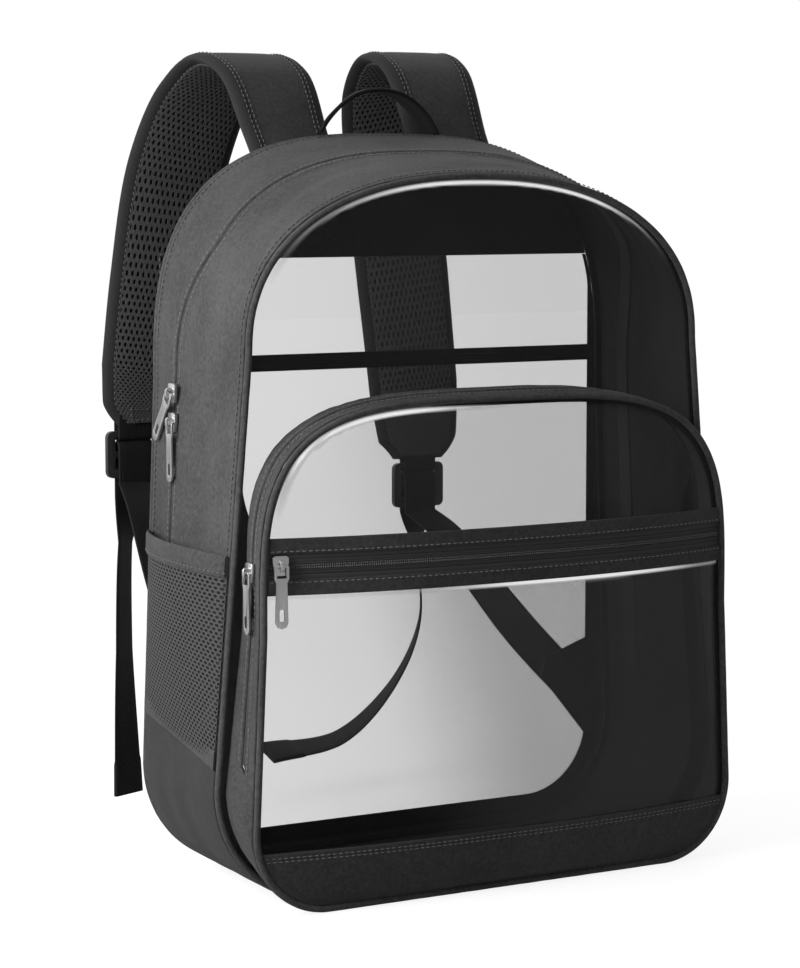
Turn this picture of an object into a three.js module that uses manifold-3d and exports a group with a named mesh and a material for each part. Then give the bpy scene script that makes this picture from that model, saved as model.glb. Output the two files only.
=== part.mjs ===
// A clear stadium backpack, standing on its base, in millimetres with +Z up.
// The front faces -Y, the shoulder straps stand behind the back panel at +Y, and the origin is the
// centre of the main compartment's base.
import * as THREE from "three";
import { mergeVertices } from "three/addons/utils/BufferGeometryUtils.js";
import Module from "manifold-3d";

const wasm = await Module();
wasm.setup();

// Driving dimensions
const MAIN_DEPTH = 110;
const POCKET_DEPTH = 26;
const POCKET_BULGE = 20;
const SHEET = 1;
const FABRIC = 1.6;
const GAP = 0.3;
const PIPING_RADIUS = 2;
const SEAM_INSET = 5;
const BACK_Y = MAIN_DEPTH / 2;
const FRONT_Y = -MAIN_DEPTH / 2;
const POCKET_Y = FRONT_Y - POCKET_DEPTH;
const POCKET_ZIP_WIDTH = 13;
const POCKET_ZIP_CENTRE = 0.44;
const MAIN_ZIP_WIDTH = 17;
const BAND_LOW = 183;
const BAND_HIGH = 215;
const BAND_TRIM = 9;
const BAND_ZIP_LIFT = 0.8;
const BASE_BAND_TOP = 38;
const WINDOW_HALF = 149;
const WINDOW_LOW = 18;
const WINDOW_CORNER = 45;
const YOKE_LOW = 365;
const CROSS_LOW = 297;
const CROSS_HIGH = 307;
const MESH_BULGE = 13;
const STRAP_THICKNESS = 9;
const WEBBING_WIDTH = 24;
const WEBBING = 1.5;
const PULL_LENGTH = 35;
const PULL_THICKNESS = 1.2;

// Outlines of the panels seen from the front: the half widths at the base and the shoulder, the heights of
// the base, the shoulder and the top, the bottom corner's radius, and how square the arch is (2: an ellipse).
const OUTLINES = {
  back: { base: 0, baseHalf: 167, shoulder: 293, shoulderHalf: 158, top: 440, corner: 67, square: 2.9 },
  front: { base: 0, baseHalf: 174, shoulder: 316, shoulderHalf: 153, top: 416, corner: 70, square: 2.3 },
  pocketRear: { base: 5, baseHalf: 168, shoulder: 190, shoulderHalf: 154, top: 292, corner: 66, square: 3.3 },
  pocketFront: { base: 0, baseHalf: 163, shoulder: 160, shoulderHalf: 158, top: 289, corner: 48, square: 3.8 },
};

// Share of the way from the top centre (0) to the base centre (1) at which the arch, the side and the
// bottom corner of an outline end.
const ARCH_END = 0.32;
const SIDE_END = 0.68;
const CORNER_END = 0.84;

const lerp = THREE.MathUtils.lerp;
const clamp = THREE.MathUtils.clamp;
const vec = (x, y, z) => new THREE.Vector3(x, y, z);

const MATERIALS = {
  fabric: { color: 0x1b1b1d, roughness: 0.85, metalness: 0 },
  mesh: { color: 0x141416, roughness: 0.9, metalness: 0 },
  webbing: { color: 0x202022, roughness: 0.8, metalness: 0 },
  zip: { color: 0x161618, roughness: 0.6, metalness: 0 },
  metal: { color: 0x9c9da0, roughness: 0.3, metalness: 0.9 },
  plastic: { color: 0x171719, roughness: 0.45, metalness: 0 },
  clear: { color: 0xe4e8ea, roughness: 0.12, metalness: 0, transparent: true, opacity: 0.3 },
};

const backpack = new THREE.Group();

function addMesh(name, material, geometry, parent = backpack) {
  const mesh = new THREE.Mesh(geometry, new THREE.MeshStandardMaterial(MATERIALS[material]));
  mesh.name = name;
  parent.add(mesh);
  return mesh;
}

// Outlines

function inset(outline, distance) {
  return {
    ...outline,
    base: outline.base + distance,
    baseHalf: outline.baseHalf - distance,
    shoulderHalf: outline.shoulderHalf - distance,
    top: outline.top - distance,
    corner: outline.corner - distance,
  };
}

// A point of an outline at u, which runs from 0 at the top centre to 1 at the base centre down the right
// side, and to -1 down the left side.
function outlinePoint(outline, u) {
  const wrapped = u > 1 ? u - 2 : u;
  const along = Math.abs(wrapped);
  const right = Math.sign(wrapped) || 1;
  const cornerTop = outline.base + outline.corner;
  let x;
  let z;
  if (along <= ARCH_END) {
    const angle = (Math.PI / 2) * (1 - along / ARCH_END);
    x = outline.shoulderHalf * Math.cos(angle) ** (2 / outline.square);
    z = outline.shoulder + (outline.top - outline.shoulder) * Math.sin(angle) ** (2 / outline.square);
  } else if (along <= SIDE_END) {
    const share = (along - ARCH_END) / (SIDE_END - ARCH_END);
    x = lerp(outline.shoulderHalf, outline.baseHalf, share);
    z = lerp(outline.shoulder, cornerTop, share);
  } else if (along <= CORNER_END) {
    const angle = ((Math.PI / 2) * (along - SIDE_END)) / (CORNER_END - SIDE_END);
    x = outline.baseHalf - outline.corner * (1 - Math.cos(angle));
    z = cornerTop - outline.corner * Math.sin(angle);
  } else {
    x = lerp(outline.baseHalf - outline.corner, 0, (along - CORNER_END) / (1 - CORNER_END));
    z = outline.base;
  }
  return new THREE.Vector2(right * x, z);
}

function halfWidthAt(outline, z) {
  const cornerTop = outline.base + outline.corner;
  if (z >= outline.shoulder) {
    const share = clamp((z - outline.shoulder) / (outline.top - outline.shoulder), 0, 1);
    return outline.shoulderHalf * (1 - share ** outline.square) ** (1 / outline.square);
  }
  if (z >= cornerTop) {
    const share = (z - cornerTop) / (outline.shoulder - cornerTop);
    return lerp(outline.baseHalf, outline.shoulderHalf, share);
  }
  const drop = Math.min(cornerTop - z, outline.corner);
  return outline.baseHalf - outline.corner + Math.sqrt(outline.corner ** 2 - drop ** 2);
}

// The share u at which the side of an outline passes a height.
function sideShare(outline, z) {
  const fall = (outline.shoulder - z) / (outline.shoulder - outline.base - outline.corner);
  return ARCH_END + (SIDE_END - ARCH_END) * fall;
}

// Solids

// Joins loops with the same number of points into one closed solid. Open ends are closed by rungs between
// the first half of the loop and its second half, so a loop runs out along one side and back along the other.
function loft(loops, closed = false) {
  const count = loops[0].length;
  const position = [];
  const index = [];
  loops.forEach((loop) => loop.forEach((point) => position.push(point.x, point.y, point.z)));
  const joined = closed ? loops.length : loops.length - 1;
  for (let i = 0; i < joined; i++) {
    const here = i * count;
    const next = ((i + 1) % loops.length) * count;
    for (let k = 0; k < count; k++) {
      const after = (k + 1) % count;
      index.push(here + k, here + after, next + after, here + k, next + after, next + k);
    }
  }
  if (!closed) {
    const last = (loops.length - 1) * count;
    for (let k = 0; k < count / 2 - 1; k++) {
      const back = count - 1 - k;
      index.push(k, back, k + 1, k + 1, back, back - 1);
      index.push(last + k, last + k + 1, last + back, last + k + 1, last + back - 1, last + back);
    }
  }
  const geometry = new THREE.BufferGeometry();
  geometry.setAttribute("position", new THREE.Float32BufferAttribute(position, 3));
  geometry.setIndex(index);
  if (signedVolume(geometry) < 0) {
    geometry.setIndex(index.slice().reverse());
  }
  return geometry;
}

function signedVolume(geometry) {
  const points = geometry.getAttribute("position");
  const index = geometry.getIndex();
  const [a, b, c] = [vec(), vec(), vec()];
  let sum = 0;
  for (let i = 0; i < index.count; i += 3) {
    a.fromBufferAttribute(points, index.getX(i));
    b.fromBufferAttribute(points, index.getX(i + 1));
    c.fromBufferAttribute(points, index.getX(i + 2));
    sum += a.dot(b.cross(c)) / 6;
  }
  return sum;
}

// A wall is the ruled surface between two outlines at two depths. Its point at u and v, with v from 0 at
// the first outline to 1 at the second, stands out from the surface by offset.
function wallPoint(wall, u, v, offset) {
  const at = (share) => outlinePoint(wall.first, share).lerp(outlinePoint(wall.second, share), v);
  const step = 0.004;
  const here = at(u);
  const run = at(u + step).sub(at(u - step)).normalize();
  return vec(here.x - run.y * offset, lerp(wall.firstY, wall.secondY, v), here.y + run.x * offset);
}

// A piece of a wall. row.u(s, v) gives its course for s and v from 0 to 1, row.v(s, v) its place across,
// and row.outer(s, v) how far its outer face stands out.
function wallPiece(wall, row) {
  const loops = [];
  for (let i = 0; i <= row.steps; i++) {
    const s = i / row.steps;
    const outer = [];
    const inner = [];
    row.across.forEach((share) => {
      const u = row.u(s, share);
      const v = row.v(s, share);
      const out = row.outer(s, share);
      outer.push(wallPoint(wall, u, v, out));
      inner.unshift(wallPoint(wall, u, v, out - row.thickness(share)));
    });
    loops.push([...outer, ...inner]);
  }
  return loft(loops);
}

// A round cord along an outline.
function pipingRing(outline, y, steps = 54, sides = 6) {
  const path = inset(outline, PIPING_RADIUS);
  const loops = [];
  for (let i = 0; i < steps; i++) {
    const u = -1 + (2 * i) / steps;
    const here = outlinePoint(path, u);
    const run = outlinePoint(path, u + 0.004).sub(outlinePoint(path, u - 0.004)).normalize();
    const loop = [];
    for (let k = 0; k < sides; k++) {
      const angle = (2 * Math.PI * k) / sides + Math.PI / sides;
      const out = PIPING_RADIUS * Math.cos(angle);
      loop.push(vec(here.x - run.y * out, y + PIPING_RADIUS * Math.sin(angle), here.y + run.x * out));
    }
    loops.push(loop);
  }
  return loft(loops, true);
}

// A sheet inside an outline between two heights. faceY(x, z) is its front face.
function sheet(outline, low, high, rows, thickness, faceY, columns = 8) {
  const loops = [];
  for (let i = 0; i <= rows; i++) {
    const z = lerp(low, high, rowShare(outline, low, high, i / rows));
    const half = halfWidthAt(outline, z);
    const front = [];
    const back = [];
    for (let k = 0; k <= columns; k++) {
      const x = lerp(-half, half, k / columns);
      front.push(vec(x, faceY(x, z), z));
      back.unshift(vec(x, faceY(x, z) + thickness, z));
    }
    loops.push([...front, ...back]);
  }
  return loft(loops);
}

// Rows stand closer together towards the end of an outline that a sheet reaches.
function rowShare(outline, low, high, share) {
  const atTop = high > outline.top - 2;
  const atBase = low < outline.base + 2;
  if (atTop && atBase) return (1 - Math.cos(Math.PI * share)) / 2;
  if (atTop) return Math.sin((Math.PI / 2) * share);
  if (atBase) return 1 - Math.cos((Math.PI / 2) * share);
  return share;
}

// A flat strip with its width along a given direction at each station of a route.
function strip(stations, thickness) {
  const loops = stations.map((station, i) => {
    const before = stations[Math.max(i - 1, 0)].at;
    const after = stations[Math.min(i + 1, stations.length - 1)].at;
    const run = after.clone().sub(before).normalize();
    const wide = station.wide.clone().addScaledVector(run, -station.wide.dot(run)).normalize();
    const thick = run.clone().cross(wide);
    const corner = (a, b) =>
      station.at.clone().addScaledVector(wide, (a * station.width) / 2).addScaledVector(thick, (b * thickness) / 2);
    return [corner(-1, -1), corner(1, -1), corner(1, 1), corner(-1, 1)];
  });
  return loft(loops);
}

// Stations on a smooth curve through the rows of a table, count steps in all.
function smoothStations(rows, count) {
  const curve = new THREE.CatmullRomCurve3(rows.map((row) => row.at), false, "centripetal");
  const last = rows.length - 1;
  const stations = [];
  for (let i = 0; i <= count; i++) {
    const share = (i / count) * last;
    const low = Math.min(Math.floor(share), last - 1);
    const part = share - low;
    stations.push({
      at: curve.getPoint(i / count),
      width: lerp(rows[low].width, rows[low + 1].width, part),
      wide: rows[low].wide.clone().lerp(rows[low + 1].wide, part),
    });
  }
  return stations;
}

// Booleans

function toSolid(geometry) {
  const bare = geometry.index ? geometry.toNonIndexed() : geometry.clone();
  bare.deleteAttribute("normal");
  bare.deleteAttribute("uv");
  const merged = mergeVertices(bare, 1e-4);
  return new wasm.Manifold(
    new wasm.Mesh({
      numProp: 3,
      vertProperties: new Float32Array(merged.getAttribute("position").array),
      triVerts: new Uint32Array(merged.getIndex().array),
    }),
  );
}

function fromSolid(solid) {
  const mesh = solid.getMesh();
  const geometry = new THREE.BufferGeometry();
  geometry.setAttribute("position", new THREE.BufferAttribute(mesh.vertProperties, 3));
  geometry.setIndex(new THREE.BufferAttribute(mesh.triVerts, 1));
  return geometry;
}

function extrude(shape, depth, curveSegments = 4) {
  return new THREE.ExtrudeGeometry(shape, { depth, bevelEnabled: false, curveSegments });
}

function rectangle(target, left, low, right, high) {
  target.moveTo(left, low);
  target.lineTo(right, low);
  target.lineTo(right, high);
  target.lineTo(left, high);
  return target;
}

function roundedRectangle(target, left, low, right, high, radius) {
  target.moveTo(left + radius, low);
  target.lineTo(right - radius, low);
  target.absarc(right - radius, low + radius, radius, -Math.PI / 2, 0, false);
  target.lineTo(right, high - radius);
  target.absarc(right - radius, high - radius, radius, 0, Math.PI / 2, false);
  target.lineTo(left + radius, high);
  target.absarc(left + radius, high - radius, radius, Math.PI / 2, Math.PI, false);
  target.lineTo(left, low + radius);
  target.absarc(left + radius, low + radius, radius, Math.PI, 1.5 * Math.PI, false);
  return target;
}

// The main compartment's wall and the front pocket's wall

const ZIP_GAP = PIPING_RADIUS + GAP;
const mainWall = {
  first: OUTLINES.front,
  second: OUTLINES.back,
  firstY: FRONT_Y,
  secondY: BACK_Y,
};
const pocketWall = {
  first: OUTLINES.pocketFront,
  second: OUTLINES.pocketRear,
  firstY: POCKET_Y + ZIP_GAP,
  secondY: FRONT_Y - SHEET - GAP,
};
const EDGE_V = ZIP_GAP / MAIN_DEPTH;

// Where the side walls change from the base fabric to the sides, and the side pocket's upper edges:
// heights at the front and at the back of the wall.
const SIDE_LINES = {
  seam: { front: 87, back: 103 },
  binding: { front: 191, back: 194 },
  top: { front: 202, back: 206 },
};

function sideLine(line, v) {
  return lerp(sideShare(OUTLINES.front, line.front), sideShare(OUTLINES.back, line.back), v);
}

// The main zip runs nearer the back on the sides than over the top.
function zipCentre(u) {
  return lerp(0.52, 0.735, THREE.MathUtils.smoothstep(Math.abs(u), 0.2, 0.33));
}

const GAP_SHARE = 0.0006;
const HALF_ZIP = MAIN_ZIP_WIDTH / 2 / MAIN_DEPTH;
const GAP_V = GAP / MAIN_DEPTH;
const plain = [0, 1];
const ridge = [0, 0.38, 0.62, 1];
const onRidge = (share) => share > 0.3 && share < 0.7;

function addGussets() {
  const frontEdge = (u, across) => lerp(EDGE_V, zipCentre(u) - HALF_ZIP - GAP_V, across);
  const rearEdge = (u, across) => lerp(zipCentre(u) + HALF_ZIP + GAP_V, 1 - EDGE_V, across);
  const zipEdge = (u, across) => zipCentre(u) + lerp(-HALF_ZIP, HALF_ZIP, across);
  const arch = (edge, across, outer, thickness) => {
    const u = (s, share) => lerp(-1, 1, s) * (sideLine(SIDE_LINES.seam, edge(SIDE_END, share)) - GAP_SHARE);
    return wallPiece(mainWall, { steps: 40, across, u, v: (s, share) => edge(u(s, share), share), outer, thickness });
  };
  addMesh("gusset_front", "fabric", arch(frontEdge, plain, () => 0, () => FABRIC));
  addMesh("gusset_rear", "fabric", arch(rearEdge, plain, () => 0, () => FABRIC));
  const zipOuter = (s, share) => (onRidge(share) ? 0.7 : -0.5);
  addMesh("main_zip", "zip", arch(zipEdge, ridge, zipOuter, (share) => (onRidge(share) ? 2.6 : 1)));
  const base = wallPiece(mainWall, {
    steps: 26,
    across: plain,
    u: (s, across) => {
      const start = sideLine(SIDE_LINES.seam, lerp(EDGE_V, 1 - EDGE_V, across));
      return lerp(start, 2 - start, s);
    },
    v: (s, across) => lerp(EDGE_V, 1 - EDGE_V, across),
    outer: () => 0,
    thickness: () => FABRIC,
  });
  addMesh("gusset_base", "fabric", base);
}

function addPocketWall() {
  const lowEnd = 0.6;
  const half = POCKET_ZIP_WIDTH / 2 / (POCKET_DEPTH - ZIP_GAP - SHEET - GAP);
  const arch = (from, to, across, outer, thickness) => {
    const u = (s) => lerp(-lowEnd, lowEnd, s);
    return wallPiece(pocketWall, { steps: 34, across, u, v: (s, share) => lerp(from, to, share), outer, thickness });
  };
  const gap = GAP / POCKET_DEPTH;
  const centre = POCKET_ZIP_CENTRE;
  addMesh("pocket_gusset_front", "fabric", arch(0, centre - half - gap, plain, () => 0, () => FABRIC));
  addMesh("pocket_gusset_rear", "fabric", arch(centre + half + gap, 1, plain, () => 0, () => FABRIC));
  const zipOuter = (s, share) => (onRidge(share) ? 0.6 : -0.5);
  const zip = arch(centre - half, centre + half, ridge, zipOuter, (share) => (onRidge(share) ? 2.2 : 1));
  addMesh("pocket_zip", "zip", zip);
  const base = wallPiece(pocketWall, {
    steps: 26,
    across: plain,
    u: (s) => lerp(lowEnd + 2 * GAP_SHARE, 2 - lowEnd - 2 * GAP_SHARE, s),
    v: (s, share) => share,
    outer: () => 0,
    thickness: () => FABRIC,
  });
  addMesh("pocket_gusset_base", "fabric", base);
}

function addPiping() {
  addMesh("back_piping", "fabric", pipingRing(OUTLINES.back, BACK_Y));
  addMesh("front_piping", "fabric", pipingRing(OUTLINES.front, FRONT_Y));
  addMesh("pocket_piping", "fabric", pipingRing(OUTLINES.pocketFront, POCKET_Y));
}

// Panels

function addBackPanel() {
  const panel = inset(OUTLINES.back, SEAM_INSET);
  const inner = BACK_Y - SHEET / 2;
  const outer = inner + SHEET + GAP;
  addMesh("back_sheet", "clear", sheet(panel, panel.base, panel.top - 0.4, 22, SHEET, () => inner, 2));
  const yoke = sheet(panel, YOKE_LOW, panel.top - 0.4, 8, FABRIC, () => outer, 2);
  addMesh("back_yoke", "fabric", yoke);
  const crossHalf = WINDOW_HALF - GAP;
  const cross = new THREE.BoxGeometry(2 * crossHalf, FABRIC, CROSS_HIGH - CROSS_LOW);
  cross.translate(0, outer + FABRIC / 2, (CROSS_LOW + CROSS_HIGH) / 2);
  addMesh("back_cross_strip", "fabric", cross);
  const sideLow = WINDOW_LOW + WINDOW_CORNER;
  [["left", -1], ["right", 1]].forEach(([side, sign]) => {
    const loops = [];
    for (let i = 0; i <= 8; i++) {
      const z = lerp(sideLow, YOKE_LOW - GAP, i / 8);
      const edge = sign * halfWidthAt(panel, z);
      const near = sign * Math.min(WINDOW_HALF, Math.abs(edge) - 2);
      loops.push([vec(near, outer, z), vec(edge, outer, z), vec(edge, outer + FABRIC, z), vec(near, outer + FABRIC, z)]);
    }
    addMesh("back_strip_" + side, "fabric", loft(loops));
  });
  addMesh("back_bottom_strip", "fabric", bottomStrip(panel, outer, sideLow - GAP));
}

// The strip round the lower end of the back window, with the window's rounded corners cut out of it.
function bottomStrip(panel, outer, top) {
  const shape = new THREE.Shape();
  shape.moveTo(halfWidthAt(panel, top), top);
  for (let i = 0; i <= 24; i++) {
    const at = outlinePoint(panel, lerp(SIDE_END, 2 - SIDE_END, i / 24));
    if (at.y < top - 1) shape.lineTo(at.x, at.y);
  }
  shape.lineTo(-halfWidthAt(panel, top), top);
  shape.lineTo(-WINDOW_HALF, top);
  const centre = WINDOW_HALF - WINDOW_CORNER;
  const centreZ = WINDOW_LOW + WINDOW_CORNER;
  shape.absarc(-centre, centreZ, WINDOW_CORNER, Math.PI, 1.5 * Math.PI, false);
  shape.absarc(centre, centreZ, WINDOW_CORNER, 1.5 * Math.PI, 2 * Math.PI, false);
  shape.lineTo(WINDOW_HALF, top);
  return extrude(shape, FABRIC, 6).rotateX(Math.PI / 2).translate(0, outer + FABRIC, 0);
}

function addFrontPanel() {
  const panel = inset(OUTLINES.front, SEAM_INSET);
  const face = FRONT_Y - SHEET / 2;
  addMesh("front_sheet", "clear", sheet(panel, panel.base, panel.top - 0.4, 22, SHEET, () => face, 2));
}

// The pocket's front face, which bulges between its piping.
const pocketPanel = inset(OUTLINES.pocketFront, SEAM_INSET);

function pocketFaceY(x, z) {
  const height = clamp((z - pocketPanel.base) / (pocketPanel.top - pocketPanel.base), 0, 1);
  const upright = (4 * height * (1 - height)) ** 0.45;
  const half = Math.max(halfWidthAt(pocketPanel, z), 1);
  const level = 1 - Math.min(Math.abs(x) / half, 1) ** 2.4;
  return POCKET_Y - POCKET_BULGE * upright * level;
}

function addPocketFront() {
  const at = (lift) => (x, z) => pocketFaceY(x, z) - lift;
  const low = pocketPanel.base;
  const piece = (name, material, from, to, rows, thickness, lift) =>
    addMesh(name, material, sheet(pocketPanel, from, to, rows, thickness, at(lift), 10));
  piece("pocket_sheet_upper", "clear", BAND_HIGH + GAP, pocketPanel.top - 0.4, 9, SHEET, SHEET / 2);
  piece("band_trim_upper", "fabric", BAND_HIGH - BAND_TRIM, BAND_HIGH, 1, FABRIC, 1);
  piece("band_zip", "zip", BAND_LOW + BAND_TRIM + GAP, BAND_HIGH - BAND_TRIM - GAP, 2, FABRIC, BAND_ZIP_LIFT);
  piece("band_trim_lower", "fabric", BAND_LOW, BAND_LOW + BAND_TRIM, 1, FABRIC, 1);
  piece("pocket_sheet_lower", "clear", BASE_BAND_TOP + GAP, BAND_LOW - GAP, 8, SHEET, SHEET / 2);
  piece("pocket_base_band", "fabric", low, BASE_BAND_TOP, 7, FABRIC, 0.8);
}

// Side pockets

function addSidePockets() {
  const across = [0, 0.08, 0.2, 0.35, 0.5, 0.65, 0.8, 0.92, 1];
  const vOf = (share) => lerp(EDGE_V, 1 - EDGE_V, share);
  const bulge = (height, share) => GAP + MESH_BULGE * height ** 0.7 * Math.sin(Math.PI * share) ** 0.7;
  const panel = (sign, low, high, from, to, thickness, steps) => wallPiece(mainWall, {
    steps,
    across,
    u: (s, share) => sign * lerp(sideLine(low, vOf(share)), sideLine(high, vOf(share)), s),
    v: (s, share) => vOf(share),
    outer: (s, share) => bulge(lerp(from, to, s), share) + thickness,
    thickness: () => thickness,
  });
  const seamOverlap = { front: SIDE_LINES.seam.front - 3, back: SIDE_LINES.seam.back - 3 };
  const meshTop = { front: SIDE_LINES.binding.front - GAP, back: SIDE_LINES.binding.back - GAP };
  [["left", -1], ["right", 1]].forEach(([side, sign]) => {
    const net = panel(sign, seamOverlap, meshTop, 0.02, 0.92, 1.2, 7);
    addMesh("side_mesh_" + side, "mesh", net);
    const binding = panel(sign, SIDE_LINES.binding, SIDE_LINES.top, 0.92, 1, 2.2, 1);
    addMesh("side_binding_" + side, "fabric", binding);
  });
}

// Zip sliders and pulls. A slider's own frame has x across the pull, y up and z out of the bag, and z is
// nought on the slider's plate, over which the crown stands.
const SLIDER = { length: 11, headWidth: 9, tailWidth: 6.4, plate: 1.8 };
const CROWN = { half: 3, leg: 1.1, windowHeight: 2.6, bar: 1.1, halfWidth: 1 };
const PULL = { ringHalf: 4.2, holeHalf: 2.8, bar: 0.7, ringLength: 6, tipHalf: 3.7, waistHalf: 3.1 };
const PULL_AXIS_HEIGHT = CROWN.windowHeight / 2;

function sliderGeometry() {
  const plate = new THREE.Shape();
  const half = SLIDER.length / 2;
  plate.moveTo(-SLIDER.tailWidth / 2, -half);
  plate.lineTo(SLIDER.tailWidth / 2, -half);
  plate.lineTo(SLIDER.headWidth / 2, half * 0.35);
  plate.lineTo(SLIDER.headWidth / 2, half * 0.8);
  plate.lineTo(SLIDER.headWidth / 2 - 1.2, half);
  plate.lineTo(-SLIDER.headWidth / 2 + 1.2, half);
  plate.lineTo(-SLIDER.headWidth / 2, half * 0.8);
  plate.lineTo(-SLIDER.headWidth / 2, half * 0.35);
  const body = extrude(plate, SLIDER.plate).translate(0, 0, -SLIDER.plate);
  const crown = new THREE.Shape();
  const top = CROWN.windowHeight + CROWN.bar;
  crown.moveTo(-CROWN.half, -0.4);
  crown.lineTo(-CROWN.half + CROWN.leg, -0.4);
  crown.lineTo(-CROWN.half + CROWN.leg, CROWN.windowHeight);
  crown.lineTo(CROWN.half - CROWN.leg, CROWN.windowHeight);
  crown.lineTo(CROWN.half - CROWN.leg, -0.4);
  crown.lineTo(CROWN.half, -0.4);
  crown.lineTo(CROWN.half, top - 1.2);
  crown.lineTo(CROWN.half - 1.2, top);
  crown.lineTo(-CROWN.half + 1.2, top);
  crown.lineTo(-CROWN.half, top - 1.2);
  const arch = extrude(crown, 2 * CROWN.halfWidth).translate(0, 0, -CROWN.halfWidth);
  arch.applyMatrix4(new THREE.Matrix4().makeBasis(vec(0, 1, 0), vec(0, 0, 1), vec(1, 0, 0)));
  return fromSolid(toSolid(body).add(toSolid(arch)));
}

function pullGeometry() {
  const shape = new THREE.Shape();
  const ringEnd = -PULL.bar - PULL.ringLength - 1.2;
  shape.moveTo(-PULL.ringHalf + 1, PULL.bar);
  shape.lineTo(-PULL.ringHalf, PULL.bar - 1);
  shape.lineTo(-PULL.ringHalf, ringEnd + 1);
  shape.lineTo(-PULL.waistHalf, ringEnd - 1.5);
  shape.absarc(0, -PULL_LENGTH + PULL.tipHalf, PULL.tipHalf, Math.PI, 2 * Math.PI, false);
  shape.lineTo(PULL.waistHalf, ringEnd - 1.5);
  shape.lineTo(PULL.ringHalf, ringEnd + 1);
  shape.lineTo(PULL.ringHalf, PULL.bar - 1);
  shape.lineTo(PULL.ringHalf - 1, PULL.bar);
  const low = -PULL.bar - PULL.ringLength;
  const eye = rectangle(new THREE.Path(), -PULL.holeHalf, low, PULL.holeHalf, -PULL.bar);
  const slot = roundedRectangle(new THREE.Path(), -1.4, -PULL_LENGTH + 4, 1.4, -PULL_LENGTH + 11, 1.3);
  shape.holes.push(eye, slot);
  return extrude(shape, PULL_THICKNESS, 2).translate(0, 0, -PULL_THICKNESS / 2);
}

const MAIN_SLIDER_LIFT = 1.1;
const MAIN_SLIDER_V = 0.725;
const BAND_SLIDER_LIFT = 0.6;
const BAND_SLIDER_X = -147;
const BAND_FACE_TURN = 0.22;

function wallSpot(wall, z, v, offset) {
  let low = ARCH_END;
  let high = SIDE_END;
  for (let i = 0; i < 30; i++) {
    const middle = (low + high) / 2;
    if (wallPoint(wall, -middle, v, 0).z > z) low = middle;
    else high = middle;
  }
  const at = wallPoint(wall, -low, v, 0);
  return vec(at.x - offset, at.y, z);
}

// The sliders on the walls: the height of the pull's axis, the slider's place v across the wall, the height
// at which its distance from the wall is measured, and how far its pull leans towards the back in degrees.
const SLIDERS = [
  { name: "main_upper", wall: mainWall, z: 289, v: MAIN_SLIDER_V, faceZ: 272, lean: 36 },
  { name: "main_lower", wall: mainWall, z: 272, v: MAIN_SLIDER_V, faceZ: 272, lean: 0 },
  { name: "pocket", wall: pocketWall, z: 195, v: POCKET_ZIP_CENTRE, faceZ: 195, lean: 0 },
];

function addSliderPair(name, at, facing, lean) {
  const across = vec(0, 0, 1).cross(facing).normalize();
  const frame = new THREE.Matrix4().makeBasis(across, facing.clone().cross(across), facing).setPosition(at);
  const place = new THREE.Group();
  place.applyMatrix4(frame);
  backpack.add(place);
  const slider = addMesh(name + "_slider", "metal", sliderGeometry(), place);
  slider.position.z = -PULL_AXIS_HEIGHT;
  const pull = addMesh(name + "_pull", "metal", pullGeometry(), place);
  pull.rotation.z = -THREE.MathUtils.degToRad(lean);
}

function addSliders() {
  const stand = MAIN_SLIDER_LIFT + SLIDER.plate + PULL_AXIS_HEIGHT;
  SLIDERS.forEach((row) => {
    const at = wallSpot(row.wall, row.faceZ, row.v, stand).setZ(row.z);
    addSliderPair(row.name, at, vec(-1, 0, 0), row.lean);
  });
  const bandZ = (BAND_LOW + BAND_HIGH) / 2 + 1;
  const facing = vec(-BAND_FACE_TURN, -1, 0).normalize();
  const at = vec(BAND_SLIDER_X, pocketFaceY(BAND_SLIDER_X, bandZ) - BAND_ZIP_LIFT, bandZ);
  at.addScaledVector(facing, BAND_SLIDER_LIFT + SLIDER.plate + PULL_AXIS_HEIGHT);
  addSliderPair("band", at, facing, 0);
}

// Shoulder straps, buckles and webbing. Tables are for the right side, and the left side is mirrored.
const YOKE_FACE = BACK_Y + SHEET / 2 + GAP + FABRIC;
const HAUL = { width: 18, thickness: 2, half: 39, x: -5, y: 60, footZ: 438.7, top: 466 };
const STRAP_ROOT_Y = YOKE_FACE + GAP + STRAP_THICKNESS / 2;

function strapRows({ strapEnd: endZ, strapTop: apexZ, strapReach: endX }) {
  return [
    { x: 57, y: STRAP_ROOT_Y + 0.4, z: 392, width: 54 },
    { x: 57, y: STRAP_ROOT_Y + 0.6, z: 402, width: 54 },
    { x: 57, y: STRAP_ROOT_Y + 2, z: 412, width: 55 },
    { x: 57, y: STRAP_ROOT_Y + 6.5, z: 424, width: 56 },
    { x: 57, y: 80, z: 441, width: 58 },
    { x: 58, y: 105, z: apexZ - 10, width: 62 },
    { x: 61, y: 138, z: apexZ, width: 66 },
    { x: 67, y: 168, z: apexZ - 20, width: 68 },
    { x: 79, y: 186, z: 418, width: 70 },
    { x: lerp(79, endX, 0.5), y: 193, z: 345, width: 70 },
    { x: lerp(79, endX, 0.85), y: 194, z: lerp(endZ, 345, 0.4), width: 68 },
    { x: endX, y: 195, z: endZ + 13, width: 60 },
    { x: endX, y: 195, z: endZ, width: 38 },
  ];
}

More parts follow.
